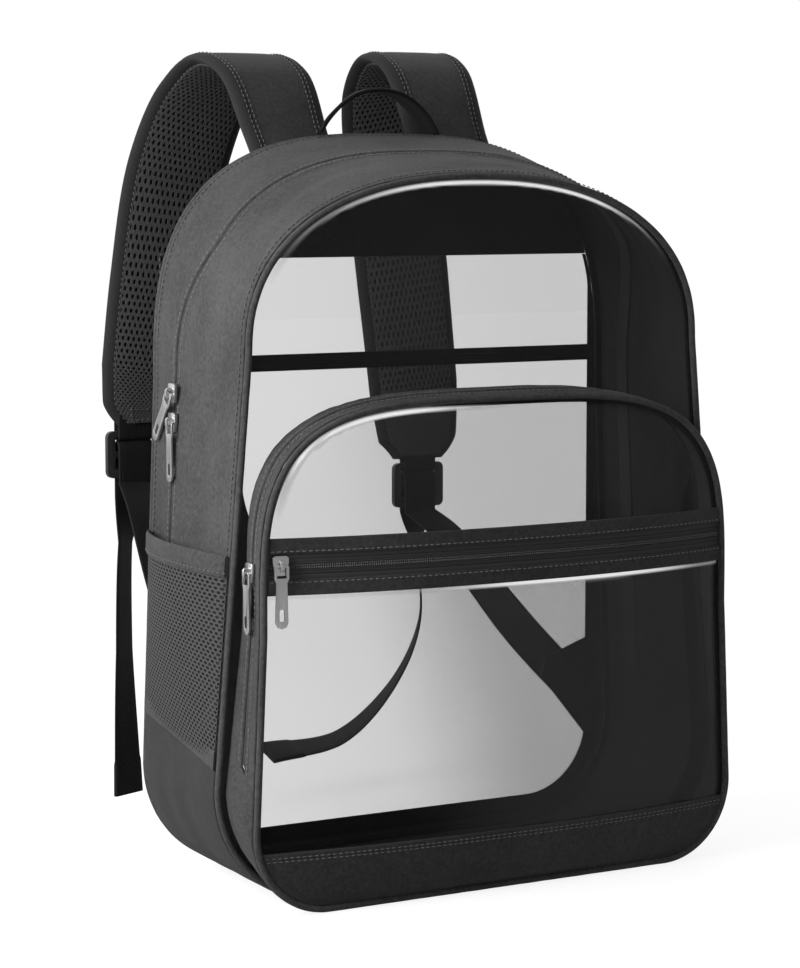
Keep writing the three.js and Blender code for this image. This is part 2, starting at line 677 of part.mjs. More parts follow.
function strapGeometry(side) {
  const { sign } = side;
  const rows = strapRows(side).map((row) => ({
    at: vec(sign * row.x, row.y, row.z),
    width: row.width,
    wide: vec(1, 0, 0),
  }));
  const stations = smoothStations(rows, 36);
  const loops = stations.map((station, i) => {
    const before = stations[Math.max(i - 1, 0)].at;
    const after = stations[Math.min(i + 1, stations.length - 1)].at;
    const run = after.clone().sub(before).normalize();
    const wide = station.wide.clone().addScaledVector(run, -station.wide.dot(run)).normalize();
    const thick = run.clone().cross(wide);
    const half = station.width / 2;
    const edge = STRAP_THICKNESS / 2;
    const profile = [[-half, -0.3], [-half + 3, -1], [half - 3, -1], [half, -0.3]];
    const loop = [...profile, ...profile.map(([a, b]) => [a, -b]).reverse()];
    return loop.map(([a, b]) => station.at.clone().addScaledVector(wide, a).addScaledVector(thick, b * edge));
  });
  return loft(loops);
}

const BUCKLE = { half: 19, thickness: 4, low: -14, high: 16, slotHalf: 13.5 };
const MIDDLE_BAR = { low: -1, high: 3 };
const TOP_BAR_LOW = 12.5;

function buckleGeometry() {
  const shape = roundedRectangle(new THREE.Shape(), -BUCKLE.half, BUCKLE.low, BUCKLE.half, BUCKLE.high, 4);
  const slotHalf = BUCKLE.slotHalf;
  shape.holes.push(roundedRectangle(new THREE.Path(), -slotHalf, MIDDLE_BAR.high, slotHalf, TOP_BAR_LOW, 1));
  shape.holes.push(roundedRectangle(new THREE.Path(), -slotHalf, -8, slotHalf, MIDDLE_BAR.low, 1));
  const plate = extrude(shape, BUCKLE.thickness, 2).translate(0, 0, -BUCKLE.thickness / 2);
  plate.applyMatrix4(new THREE.Matrix4().makeBasis(vec(-1, 0, 0), vec(0, 0, 1), vec(0, 1, 0)));
  return plate;
}

// A strip turned round a bar: from the end of one strand, round the bar and back along the other.
function turnRound(centre, radius, from, to, steps, width) {
  const stations = [];
  for (let i = 0; i <= steps; i++) {
    const angle = lerp(from, to, i / steps);
    const at = centre.clone().add(vec(0, radius * Math.cos(angle), radius * Math.sin(angle)));
    stations.push({ at, width, wide: vec(1, 0, 0) });
  }
  return stations;
}

// Carrying hardware for each side: where the strap ends, where the buckle hangs, and how the free tail runs.
const SIDES = [
  {
    side: "left", sign: -1, strapEnd: 255, strapTop: 486, strapReach: 98, buckle: { x: 107, z: 236 },
    tail: [{ x: 113, y: 196, z: 180 }, { x: 115, y: 195, z: 110 }, { x: 113, y: 195, z: 16 }],
    tailWide: [[0.7, 0.7, 0], [0.75, 0.65, 0], [0.9, 0.3, 0]],
  },
  {
    side: "right", sign: 1, strapEnd: 224, strapTop: 489, strapReach: 104, buckle: { x: 104, z: 205 },
    tail: [
      { x: 104, y: 196, z: 160 }, { x: 106, y: 195, z: 114 }, { x: 88, y: 196, z: 74 },
      { x: 47, y: 198, z: 38 }, { x: -12, y: 196, z: 32 },
    ],
    tailWide: [[0.5, 0.86, 0], [0.5, 0.86, 0], [0.4, 0.9, 0], [0.2, 0.95, 0.1], [0, 0.93, 0.35]],
  },
];

const CORNER_TAB = { tipX: 116, tipZ: 98, edgeX: 152, highZ: 117, lowZ: 51 };

function addCarrying() {
  SIDES.forEach((row) => {
    const { side, sign, buckle } = row;
    addMesh("strap_" + side, "fabric", strapGeometry(row));
    const hook = vec(sign * buckle.x, 195, buckle.z);
    addMesh("buckle_" + side, "plastic", buckleGeometry().translate(hook.x, hook.y, hook.z));
    addMesh("buckle_tab_" + side, "webbing", buckleTab(hook, row.strapEnd));
    addMesh("webbing_" + side, "webbing", webbingGeometry(row, hook));
    addMesh("corner_tab_" + side, "fabric", cornerTab(sign));
  });
  addMesh("haul_loop", "webbing", haulLoop());
}

// The folded tab that holds the buckle's top bar to the strap's end.
function buckleTab(hook, strapEnd) {
  const top = strapEnd - 1;
  const barMiddle = hook.z + TOP_BAR_LOW + 1;
  const radius = BUCKLE.thickness / 2 + GAP + WEBBING / 2 + 0.1;
  const ends = (y) => ({ at: vec(hook.x, y, top), width: WEBBING_WIDTH, wide: vec(1, 0, 0) });
  const low = hook.clone().setZ(barMiddle);
  const turn = turnRound(low, radius, 2 * Math.PI, Math.PI, 8, WEBBING_WIDTH);
  return strip([ends(hook.y + radius), ...turn, ends(hook.y - radius)], WEBBING);
}

// The lower webbing: from the corner tab up to the buckle, round its middle bar, and down as the free tail.
function webbingGeometry(row, hook) {
  const { sign } = row;
  const radius = BUCKLE.thickness / 2 + GAP + WEBBING / 2 + 0.1;
  const barMiddle = hook.clone().setZ(hook.z + MIDDLE_BAR.high - 1);
  const level = (x, y, z, wide) => ({ at: vec(sign * x, y, z), width: WEBBING_WIDTH, wide: vec(...wide) });
  const rise = smoothStations(
    [
      level(138, YOKE_FACE + 3, 88, [0.55, 0, sign * 0.8]),
      level(129, YOKE_FACE + 5, 98, [0.6, 0, sign * 0.75]),
      level(119, 84, 118, [0.7, 0, sign * 0.6]),
      level(116, 122, 142, [0.9, 0, sign * 0.35]),
      level(112, 170, hook.z - 30, [1, 0, sign * 0.1]),
      { at: vec(hook.x, hook.y - radius, hook.z - 17), width: WEBBING_WIDTH, wide: vec(1, 0, 0) },
    ],
    16,
  );
  const turn = turnRound(barMiddle, radius, Math.PI, 0, 8, WEBBING_WIDTH);
  const tailRows = [
    { at: vec(hook.x, hook.y + radius, hook.z - 17), width: WEBBING_WIDTH, wide: vec(1, 0, 0) },
    ...row.tail.map((point, i) => ({
      at: vec(sign * point.x, point.y, point.z),
      width: WEBBING_WIDTH,
      wide: vec(...row.tailWide[i]),
    })),
  ];
  return strip([...rise, ...turn, ...smoothStations(tailRows, 16)], WEBBING);
}

function cornerTab(sign) {
  const shape = new THREE.Shape();
  shape.moveTo(CORNER_TAB.edgeX, CORNER_TAB.lowZ);
  shape.lineTo(CORNER_TAB.edgeX, CORNER_TAB.highZ);
  shape.lineTo(CORNER_TAB.tipX + 4, CORNER_TAB.tipZ + 8);
  shape.lineTo(CORNER_TAB.tipX, CORNER_TAB.tipZ - 4);
  const geometry = extrude(shape, FABRIC).rotateX(Math.PI / 2).translate(0, YOKE_FACE + GAP + FABRIC, 0);
  return sign < 0 ? fromSolid(toSolid(geometry).mirror([1, 0, 0])) : geometry;
}

function haulLoop() {
  const row = (share, rise, wide) => ({
    at: vec(HAUL.x + share * HAUL.half, HAUL.y, lerp(HAUL.footZ, HAUL.top, rise)),
    width: HAUL.width,
    wide: vec(...wide),
  });
  const rows = [
    row(-1, 0, [0.5, 0.86, 0]),
    row(-0.82, 0.37, [0.5, 0.86, 0]),
    row(-0.4, 0.86, [0.4, 0.9, 0]),
    row(0, 1, [0.2, 1, 0]),
    row(0.4, 0.9, [0, 1, 0]),
    row(0.78, 0.5, [-0.1, 1, 0]),
    row(1, 0, [-0.2, 1, 0]),
  ];
  return strip(smoothStations(rows, 20), HAUL.thickness);
}

addGussets();
addPocketWall();
addPiping();
addBackPanel();
addFrontPanel();
addPocketFront();
addSidePockets();
addSliders();
addCarrying();

export default backpack;
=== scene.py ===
"""A clear stadium backpack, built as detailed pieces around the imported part.

Lengths in the tables are millimetres in the part's frame, and a mesh is made in metres.
"""

import math

import bmesh
import bpy
import numpy as np
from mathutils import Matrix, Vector, noise


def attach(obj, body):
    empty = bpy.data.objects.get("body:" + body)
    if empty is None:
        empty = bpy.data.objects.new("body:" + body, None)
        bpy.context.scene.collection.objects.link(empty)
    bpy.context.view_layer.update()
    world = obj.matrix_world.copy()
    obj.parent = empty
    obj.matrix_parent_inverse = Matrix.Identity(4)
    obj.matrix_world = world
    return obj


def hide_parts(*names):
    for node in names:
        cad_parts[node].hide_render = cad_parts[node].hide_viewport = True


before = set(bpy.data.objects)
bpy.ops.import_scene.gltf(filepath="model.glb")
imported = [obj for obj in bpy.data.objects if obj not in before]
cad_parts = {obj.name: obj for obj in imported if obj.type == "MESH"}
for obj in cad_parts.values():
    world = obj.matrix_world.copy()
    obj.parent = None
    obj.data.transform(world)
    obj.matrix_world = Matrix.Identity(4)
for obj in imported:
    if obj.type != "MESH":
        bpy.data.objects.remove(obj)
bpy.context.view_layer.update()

bl_info = {
    "name": "Clear Backpack",
    "version": (1, 0, 0),
    "blender": (4, 5, 0),
    "location": "View3D > Sidebar > Backpack",
    "description": "Builds a clear backpack with fabric walls, vinyl panels, net pockets and padded straps",
    "category": "Add Mesh",
}

MM = 0.001
BODY = "backpack"

# Sizes of the bag

MAIN_DEPTH = 110
BACK_Y = MAIN_DEPTH / 2
FRONT_Y = -MAIN_DEPTH / 2
POCKET_Y = FRONT_Y - 26
POCKET_BULGE = 20
PIPING_RADIUS = 2
SEAM_INSET = 5
FABRIC = 1.6
ZIP_GAP = 2.3
EDGE_V = ZIP_GAP / MAIN_DEPTH
POCKET_ZIP_CENTRE = 0.44
POCKET_ARCH_END = 0.6
BAND_LOW, BAND_HIGH, BAND_TRIM = 183, 215, 9
BASE_BAND_TOP = 38
WINDOW_HALF, WINDOW_LOW, WINDOW_CORNER = 149, 18, 45
YOKE_LOW = 365
CROSS_LOW, CROSS_HIGH = 297, 307
STRIP_Y = BACK_Y + 0.8
STRIP_FACE = STRIP_Y + FABRIC
MESH_BULGE = 13
STRAP_HALF_THICK = 4.5
WEBBING_WIDTH, WEBBING = 24, 1.5
ARCH_END, SIDE_END, CORNER_END = 0.32, 0.68, 0.84
OUTLINE_STEPS, PIPING_STEPS, ALONG_STEPS, TURN_STEPS = 600, 420, 300, 16


def lerp(a, b, share):
    return a + (b - a) * share


def spread(low, high, count):
    """Numbers from low to high in even steps."""
    return [lerp(low, high, i / count) for i in range(count + 1)]


def clamp(value):
    return min(max(value, 0.0), 1.0)


def smoothstep(value, low, high):
    share = clamp((value - low) / (high - low))
    return share * share * (3 - 2 * share)


class Outline:
    """The edge of a panel seen from the front: an arch over straight sides with rounded bottom corners."""

    def __init__(self, base, base_half, shoulder, shoulder_half, top, corner, square):
        self.base, self.base_half, self.shoulder = base, base_half, shoulder
        self.shoulder_half, self.top, self.corner, self.square = shoulder_half, top, corner, square

    def inset(self, distance):
        return Outline(
            self.base + distance,
            self.base_half - distance,
            self.shoulder,
            self.shoulder_half - distance,
            self.top - distance,
            self.corner - distance,
            self.square,
        )

    def point(self, u):
        """The point at u: 0 at the top centre, 1 or -1 at the base centre from the right or the left."""
        wrapped = u - 2 if u > 1 else u + 2 if u < -1 else u
        along, right = abs(wrapped), -1 if wrapped < 0 else 1
        corner_top = self.base + self.corner
        if along <= ARCH_END:
            angle = math.pi / 2 * (1 - along / ARCH_END)
            power = 2 / self.square
            x = self.shoulder_half * max(math.cos(angle), 0) ** power
            z = self.shoulder + (self.top - self.shoulder) * math.sin(angle) ** power
        elif along <= SIDE_END:
            share = (along - ARCH_END) / (SIDE_END - ARCH_END)
            x = lerp(self.shoulder_half, self.base_half, share)
            z = lerp(self.shoulder, corner_top, share)
        elif along <= CORNER_END:
            angle = math.pi / 2 * (along - SIDE_END) / (CORNER_END - SIDE_END)
            x = self.base_half - self.corner * (1 - math.cos(angle))
            z = corner_top - self.corner * math.sin(angle)
        else:
            x = lerp(self.base_half - self.corner, 0, (along - CORNER_END) / (1 - CORNER_END))
            z = self.base
        return right * x, z

    def half_width(self, z):
        corner_top = self.base + self.corner
        if z >= self.shoulder:
            share = clamp((z - self.shoulder) / (self.top - self.shoulder))
            return self.shoulder_half * (1 - share**self.square) ** (1 / self.square)
        if z >= corner_top:
            return lerp(self.base_half, self.shoulder_half, (z - corner_top) / (self.shoulder - corner_top))
        drop = min(corner_top - z, self.corner)
        return self.base_half - self.corner + math.sqrt(max(self.corner**2 - drop**2, 0))

    def side_share(self, z):
        fall = (self.shoulder - z) / (self.shoulder - self.base - self.corner)
        return ARCH_END + (SIDE_END - ARCH_END) * fall

    def polyline(self):
        return np.array([self.point(-1 + 2 * i / OUTLINE_STEPS) for i in range(OUTLINE_STEPS)])


BACK = Outline(0, 167, 293, 158, 440, 67, 2.9)
FRONT = Outline(0, 174, 316, 153, 416, 70, 2.3)
POCKET_REAR = Outline(5, 168, 190, 154, 292, 66, 3.3)
POCKET_FRONT = Outline(0, 163, 160, 158, 289, 48, 3.8)
POCKET_PANEL = POCKET_FRONT.inset(SEAM_INSET)


NEARBY = 0.004


def outward(path, u):
    """The unit direction (x, z) out of a path at u, where path(u) gives its x and z."""
    x1, z1 = path(u + NEARBY)
    x0, z0 = path(u - NEARBY)
    run = math.hypot(x1 - x0, z1 - z0) or 1
    return -(z1 - z0) / run, (x1 - x0) / run


class Wall:
    """The ruled surface between two outlines at two depths."""

    def __init__(self, first, second, first_y, second_y):
        self.first, self.second, self.first_y, self.second_y = first, second, first_y, second_y

    def flat_point(self, u, v):
        ax, az = self.first.point(u)
        bx, bz = self.second.point(u)
        return lerp(ax, bx, v), lerp(az, bz, v)

    def point(self, u, v, offset=0.0):
        x, z = self.flat_point(u, v)
        side_x, side_z = outward(lambda at: self.flat_point(at, v), u)
        return x + side_x * offset, lerp(self.first_y, self.second_y, v), z + side_z * offset


MAIN_WALL = Wall(FRONT, BACK, FRONT_Y, BACK_Y)
POCKET_WALL = Wall(POCKET_FRONT, POCKET_REAR, POCKET_Y + ZIP_GAP, FRONT_Y - 1.3)
SEAM, BINDING_LOW, BINDING_TOP = (87, 103), (191, 194), (202, 206)


def side_line(line, v):
    """The share u of a line across the side wall, from its heights at the front and the back."""
    return lerp(FRONT.side_share(line[0]), BACK.side_share(line[1]), v)


def zip_centre(u):
    """The main zip runs nearer the back on the sides than over the top."""
    return lerp(0.52, 0.735, smoothstep(abs(u), 0.2, 0.33))


def pocket_face(x, z):
    """How far forward the pocket's front face stands."""
    height = clamp((z - POCKET_PANEL.base) / (POCKET_PANEL.top - POCKET_PANEL.base))
    upright = (4 * height * (1 - height)) ** 0.45
    half = max(POCKET_PANEL.half_width(z), 1)
    level = 1 - min(abs(x) / half, 1) ** 2.4
    return POCKET_Y - POCKET_BULGE * upright * level


def edge_distance(outline, points):
    """The distance of each (x, z) point from an outline."""
    start = outline.polyline()
    run = np.roll(start, -1, 0) - start
    square = (run**2).sum(1) + 1e-12
    points = np.asarray(points, float)
    best = np.empty(len(points))
    for first in range(0, len(points), 1500):
        away = points[first : first + 1500, None] - start[None]
        share = np.clip((away * run).sum(-1) / square, 0, 1)
        best[first : first + 1500] = np.sqrt(((away - share[..., None] * run) ** 2).sum(-1)).min(1)
    return best


def ripple(x, y, z, seed=0.0):
    """Smooth noise from -1 to 1."""
    return noise.noise(Vector((x + 7.3 * seed, y - 3.1 * seed, z + 1.7 * seed)))


# Meshes


def new_object(name, mesh, materials):
    for material in materials:
        mesh.materials.append(material)
    piece = bpy.data.objects.new(name, mesh)
    bpy.context.scene.collection.objects.link(piece)
    return piece


def mesh_object(name, points, faces, corners_uv, materials, face_material, sharp):
    """A mesh object from millimetre points, faces and the UV of each face corner in metres."""
    mesh = bpy.data.meshes.new(name)
    mesh.from_pydata((np.asarray(points, float) * MM).tolist(), [], [list(f) for f in faces])
    layer = mesh.uv_layers.new(name="cloth")
    layer.data.foreach_set("uv", np.asarray(corners_uv, np.float32).ravel())
    mesh.polygons.foreach_set("material_index", np.asarray(face_material, np.int32))
    shade_smooth(mesh)
    mesh.set_sharp_from_angle(angle=math.radians(sharp))
    mesh.update()
    return new_object(name, mesh, materials)


def shade_smooth(mesh):
    mesh.polygons.foreach_set("use_smooth", np.ones(len(mesh.polygons), bool))


def signed_volume(points, quads):
    a, b, c, d = (points[quads[:, k]] for k in range(4))
    return (np.einsum("ij,ij->i", a, np.cross(b, c)) + np.einsum("ij,ij->i", a, np.cross(c, d))).sum() / 6


def loft(name, loops, materials, closed=False, inner_from=None, sharp=40.0):
    """Joins loops of equal count into one closed solid, whose open ends are closed by rungs."""
    grid = np.array(loops, float)
    rows, count = grid.shape[:2]
    points = grid.reshape(-1, 3)
    i = np.arange(rows if closed else rows - 1)[:, None] + np.zeros((1, count), int)
    k = np.arange(count)[None, :] + np.zeros_like(i)
    j, after = (i + 1) % rows, (k + 1) % count
    here, there = i * count, j * count
    quads = np.stack([here + k, here + after, there + after, there + k], -1).reshape(-1, 4)
    around = np.linalg.norm(np.roll(grid, -1, 1) - grid, axis=2).mean(0)
    v = np.concatenate([[0], np.cumsum(around)]) * MM
    along = np.linalg.norm(np.roll(grid, -1, 0) - grid, axis=2).mean(1)
    u = np.concatenate([[0], np.cumsum(along)]) * MM
    corner = [(u[i], v[k]), (u[i], v[k + 1]), (u[i + 1], v[k + 1]), (u[i + 1], v[k])]
    uv = np.stack([np.stack(pair, -1) for pair in corner], 2).reshape(-1, 4, 2)
    group = np.zeros(len(quads), int) if inner_from is None else (k >= inner_from).astype(int).reshape(-1)
    if not closed:
        half = np.arange(count // 2 - 1)
        first = np.stack([half + 1, half, count - 1 - half, count - 2 - half], -1)
        last = np.stack([half, half + 1, count - 2 - half, count - 1 - half], -1) + (rows - 1) * count
        caps = np.concatenate([first, last])
        quads = np.concatenate([quads, caps])
        flat = np.stack([caps % count * MM, np.zeros_like(caps)], -1)
        uv = np.concatenate([uv, flat])
        group = np.concatenate([group, np.zeros(len(caps), int)])
    if signed_volume(points, quads) < 0:
        quads, uv = quads[:, ::-1], uv[:, ::-1]
    return mesh_object(name, points, quads, uv, materials, group, sharp)


def edge_shares(width, thickness, inner):
    """Shares across a cloth strip, with two close to each edge so that the edge rounds."""
    radius = thickness / 2 / width
    ends = [0, 0.15 * radius, 0.5 * radius, radius]
    middle = [lerp(radius, 1 - radius, (i + 1) / (inner + 1)) for i in range(inner)]
    return ends + middle + [1 - e for e in reversed(ends)]


def edge_drop(share, width, thickness):
    """How far a face falls back near the edge of a strip with rounded edges."""
    return rounded(min(share, 1 - share) * width, thickness / 2)


def rounded(near, radius):
    """How far a face falls back at a distance from its rounded edge."""
    if near >= radius:
        return 0.0
    return radius - math.sqrt(max(radius**2 - (radius - near) ** 2, 0))


def wall_strip(name, wall, course, steps, materials, height, width, thickness=FABRIC):
    """Cloth on a wall. course(s, share) gives its u and v, and height(s, share, point) its outer face."""
    shares = edge_shares(width, thickness, max(int(width / 5), 4))
    loops = []
    for i in range(steps + 1):
        s = i / steps
        outer, back = [], []
        for share in shares:
            u, v = course(s, share)
            x, z = wall.flat_point(u, v)
            out = height(s, share, (x, lerp(wall.first_y, wall.second_y, v), z))
            drop = edge_drop(share, width, thickness)
            outer.append(wall.point(u, v, out - drop))
            back.append(wall.point(u, v, out - thickness + drop))
        loops.append(outer + back[::-1])
    return loft(name, loops, materials, inner_from=len(shares))


CORD_SIDES, CORD_WAVE = 14, 0.05


def cord(name, outline, y, radius, materials):
    """A round, slightly uneven cord along an outline."""
    path = outline.inset(radius)
    loops = []
    for i in range(PIPING_STEPS):
        u = -1 + 2 * i / PIPING_STEPS
        x, z = path.point(u)
        side_x, side_z = outward(path.point, u)
        loop = []
        for k in range(CORD_SIDES):
            angle = 2 * math.pi * k / CORD_SIDES
            r = radius * (1 + CORD_WAVE * ripple(x * 0.12, z * 0.12, k * 0.5))
            out = r * math.cos(angle)
            loop.append((x + side_x * out, y + r * math.sin(angle), z + side_z * out))
        loops.append(loop)
    return loft(name, loops, materials, closed=True, sharp=80)


def face_patch(name, outline, low, high, rows, columns, face, thickness, materials, row_share):
    """A sheet inside an outline between two heights. face(x, z) is the y of its front face."""
    loops = []
    for i in range(rows + 1):
        share = i / rows if row_share is None else row_share(i / rows)
        z = lerp(low, high, share)
        half = max(outline.half_width(z), 0.2)
        front, back = [], []
        near_row = min(z - low, high - z)
        drop = rounded(near_row, thickness / 2)
        for x in spread(-half, half, columns):
            y = face(x, z)
            front.append((x, y + drop, z))
            back.append((x, y + thickness - drop, z))
        loops.append(front + back[::-1])
    return loft(name, loops, materials, inner_from=columns + 1)


def smooth_path(rows, count):
    """Stations (point, width, direction across) on a centripetal curve through a table's rows."""
    last = len(rows) - 1
    stations = []
    for i in range(count + 1):
        place = i / count * last
        low = min(int(place), last - 1)
        part = place - low
        at = [curve_between([r[0] for r in rows], low, part, axis) for axis in range(3)]
        width = lerp(rows[low][1], rows[low + 1][1], part)
        wide = Vector(rows[low][2]).lerp(Vector(rows[low + 1][2]), part)
        stations.append((Vector(at), width, wide))
    return stations


def curve_between(points, low, part, axis):
    def at(i):
        if i < 0:
            return [2 * a - b for a, b in zip(points[0], points[1])]
        if i >= len(points):
            return [2 * a - b for a, b in zip(points[-1], points[-2])]
        return points[i]

    p = [at(low + i) for i in (-1, 0, 1, 2)]
    gaps = [max(math.dist(p[i], p[i + 1]), 1e-6) ** 0.5 for i in range(3)]
    a, b, c, d = (q[axis] for q in p)
    start = ((b - a) / gaps[0] - (c - a) / (gaps[0] + gaps[1]) + (c - b) / gaps[1]) * gaps[1]
    end = ((c - b) / gaps[1] - (d - b) / (gaps[1] + gaps[2]) + (d - c) / gaps[2]) * gaps[1]
    t2, t3 = part * part, part**3
    return (
        b * (2 * t3 - 3 * t2 + 1) + start * (t3 - 2 * t2 + part) + c * (3 * t2 - 2 * t3) + end * (t3 - t2)
    )


def station_frames(stations):
    """For each station: its point, width, and unit directions across and through the strip."""
    frames = []
    for i, (at, width, wide) in enumerate(stations):
        before = stations[max(i - 1, 0)][0]
        after = stations[min(i + 1, len(stations) - 1)][0]
        run = (after - before).normalized()
        across = (wide - run * wide.dot(run)).normalized()
        frames.append((at, width, across, run.cross(across)))
    return frames


STRIP_EDGE = [(-1, 0.3), (-0.97, 0.75), (-0.9, 1), (-0.5, 1)]
STRIP_PROFILE = STRIP_EDGE + [(0, 1)] + [(-a, b) for a, b in reversed(STRIP_EDGE)]


def strip(name, stations, thickness, materials):
    """Flat webbing with rounded edges. thickness is a number, or a function of a station's share."""
    frames = station_frames(stations)
    loops = []
    for i, (at, width, across, through) in enumerate(frames):
        thick = thickness(i / (len(frames) - 1)) if callable(thickness) else thickness
        over = [(a * width / 2, b * thick / 2) for a, b in STRIP_PROFILE]
        under = [(a, -b) for a, b in reversed(over)]
        loops.append([at + across * a + through * b for a, b in over + under])
    return loft(name, loops, materials, sharp=60)


def seat(piece, slot, *nodes, body=BODY):
    """A finished piece rides on its body and stands for its CAD nodes, which it hides. The slot is not
    used.
    """
    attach(piece, body)
    if nodes:
        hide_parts(*nodes)
    return piece


def half_area(piece):
    """Half a closed cloth's surface in square metres, which is the cloth's own area."""
    return sum(face.area for face in piece.data.polygons) / 2


NARROWEST_SHEET = 0.01


def lay_cloth(piece, length, node):
    """Seats a sewn cloth, after working out its width from its own area and length."""
    width = half_area(piece) / (length * MM)
    if width >= NARROWEST_SHEET:
        length * MM
    seat(piece, "fabric", node)


# Materials


class Value:
    """A number in a node tree. Arithmetic on it adds the Math nodes."""

    def __init__(self, nodes, socket):
        self.nodes, self.socket = nodes, socket

    def math(self, operation, *values):
        return self.nodes.add("ShaderNodeMath", {"operation": operation}, values, "Value")

    def __add__(self, other):
        return self.math("ADD", self, other)

    def __mul__(self, other):
        return self.math("MULTIPLY", self, other)

    def __pow__(self, other):
        return self.math("POWER", self, other)

    __radd__, __rmul__ = __add__, __mul__

    def sin(self):
        return self.math("SINE", self)

    def minimum(self, other):
        return self.math("MINIMUM", self, other)

    def maximum(self, other):
        return self.math("MAXIMUM", self, other)


class Nodes:
    """The node tree of a material or a world, written from the sockets back to what feeds them."""

    def __init__(self, name, world=None):
        self.owner = world or bpy.data.materials.new(name)
        self.owner.use_nodes = True
        self.tree = self.owner.node_tree
        self.tree.nodes.clear()

    def add(self, kind, settings=None, sockets=(), output=0):
        """Adds a node: its settings first, then its sockets by place or by name, and gives one output."""
        node = self.tree.nodes.new(kind)
        for key, value in (settings or {}).items():
            if key == "stops":
                self._stops(node, value)
            else:
                setattr(node, key, value)
        pairs = sockets.items() if isinstance(sockets, dict) else enumerate(sockets)
        for key, value in pairs:
            if isinstance(value, Value):
                self.tree.links.new(value.socket, node.inputs[key])
            elif value is not None:
                node.inputs[key].default_value = value
        return Value(self, node.outputs[output])

    @staticmethod
    def _stops(node, stops):
        ramp = node.color_ramp
        while len(ramp.elements) < len(stops):
            ramp.elements.new(0.5)
        for element, (place, grey) in zip(ramp.elements, stops):
            element.position, element.color = place, (grey, grey, grey, 1)

    def coordinates(self, kind="Object"):
        return self.add("ShaderNodeTexCoord", output=kind)

    def split(self, value):
        """The x, y and z of a vector."""
        x = self.add("ShaderNodeSeparateXYZ", None, [value])
        return [Value(self, output) for output in x.socket.node.outputs]

    def cloth_uv(self):
        """The piece's own lengths along and across, in metres."""
        return self.split(self.add("ShaderNodeUVMap", {"uv_map": "cloth"}))[:2]

    def noise(self, scale, detail=3.0, roughness=0.5):
        place = self.coordinates()
        sockets = {"Scale": scale, "Detail": detail, "Roughness": roughness, "Vector": place}
        return self.add("ShaderNodeTexNoise", None, sockets, "Fac")

    def voronoi(self, scale):
        sockets = {"Scale": scale, "Vector": self.coordinates()}
        return self.add("ShaderNodeTexVoronoi", {"feature": "F1"}, sockets, "Distance")

    def mix(self, factor, first, second):
        sockets = {0: factor, 6: first, 7: second}
        return self.add("ShaderNodeMix", {"data_type": "RGBA"}, sockets, 2)

    def ramp(self, value, *stops):
        return self.add("ShaderNodeValToRGB", {"stops": stops}, [value], "Color")

    def bump(self, height, strength, distance, under=None):
        sockets = {"Height": height, "Strength": strength, "Distance": distance, "Normal": under}
        return self.add("ShaderNodeBump", None, sockets, "Normal")

    def surface(self, **sockets):
        """The material's main shader, from its sockets by name with underscores for spaces."""
        named = {key.replace("_", " "): value for key, value in sockets.items()}
        return self.add("ShaderNodeBsdfPrincipled", None, named, "BSDF")

    def paint(self, **sockets):
        """Finishes a material that is one shader."""
        return self.finish(self.surface(**sockets))

    def finish(self, shader, kind="Material"):
        out = self.tree.nodes.new("ShaderNodeOutput" + kind)
        self.tree.links.new(shader.socket, out.inputs["Surface"])
        return self.owner


def grey(value, warmth=0.0):
    return (value * (1 + warmth), value, value * (1 - warmth), 1)


def scaled(colour, share):
    return (colour[0] * share, colour[1] * share, colour[2] * share, 1)


def woven_cloth(name, colour, pitch=0.0007, depth=0.00012, sheen=0.035):
    """Plain woven polyester: fine crossing threads, faint slubs and soft uneven colour."""
    n = Nodes(name)
    along, across = n.cloth_uv()
    turn = 2 * math.pi / pitch
    weave = (along * turn).sin() * (across * turn).sin()
    slub = n.noise(430, 3, 0.6)
    patch = n.noise(14, 3, 0.6)
    shade = n.ramp(patch * 0.4 + slub * 0.6, (0.38, 0.0), (0.62, 1.0))
    base = n.mix(shade, scaled(colour, 0.6), scaled(colour, 1.4))
    height = weave * 0.5 + slub * 0.8
    fine = n.bump(height, 0.8, depth * 1.6)
    crease = n.noise(45, 2, 0.45)
    rough = 0.62 + patch * 0.12 + slub * 0.08
    return n.paint(
        Base_Color=base,
        Roughness=rough,
        Normal=n.bump(crease, 0.5, 0.0018, fine),
        Specular_IOR_Level=0.3,
        Sheen_Weight=sheen,
        Sheen_Roughness=0.45,
    )


def webbing_cloth(name, colour, rib=0.0019):
    """Heavy woven strap: ribs along its length, with a slanting thread pattern over them."""
    n = Nodes(name)
    along, across = n.cloth_uv()
    ribs = ((across * (2 * math.pi / rib)).sin() * 0.5 + 0.5) ** 0.6
    lean = (across * (2 * math.pi / rib)).sin() * 1.8
    slant = (along * (2 * math.pi / 0.0016) + lean).sin() * 0.5 + 0.5
    fuzz = n.noise(1400, 2)
    height = ribs * 0.6 + slant * 0.4 + fuzz * 0.2
    base = n.mix(ribs * 0.5 + slant * 0.3 + fuzz * 0.2, scaled(colour, 0.7), scaled(colour, 1.25))
    return n.paint(
        Base_Color=base,
        Roughness=0.62 + fuzz * 0.15,
        Normal=n.bump(height, 0.7, 0.0003),
        Specular_IOR_Level=0.15,
        Sheen_Weight=0.01,
        Sheen_Roughness=0.4,
    )


def knitted_net(name, colour):
    """Knitted strands, with a twist along each and a little lint."""
    n = Nodes(name)
    knit = n.voronoi(1100)
    lint = n.noise(260, 3)
    base = n.mix(knit * 0.6 + lint * 0.5, scaled(colour, 0.75), scaled(colour, 1.3))
    return n.paint(
        Base_Color=base,
        Roughness=0.6 + lint * 0.2,
        Normal=n.bump(knit + lint * 0.4, 0.6, 0.0003),
        Specular_IOR_Level=0.25,
        Sheen_Weight=0.02,
    )


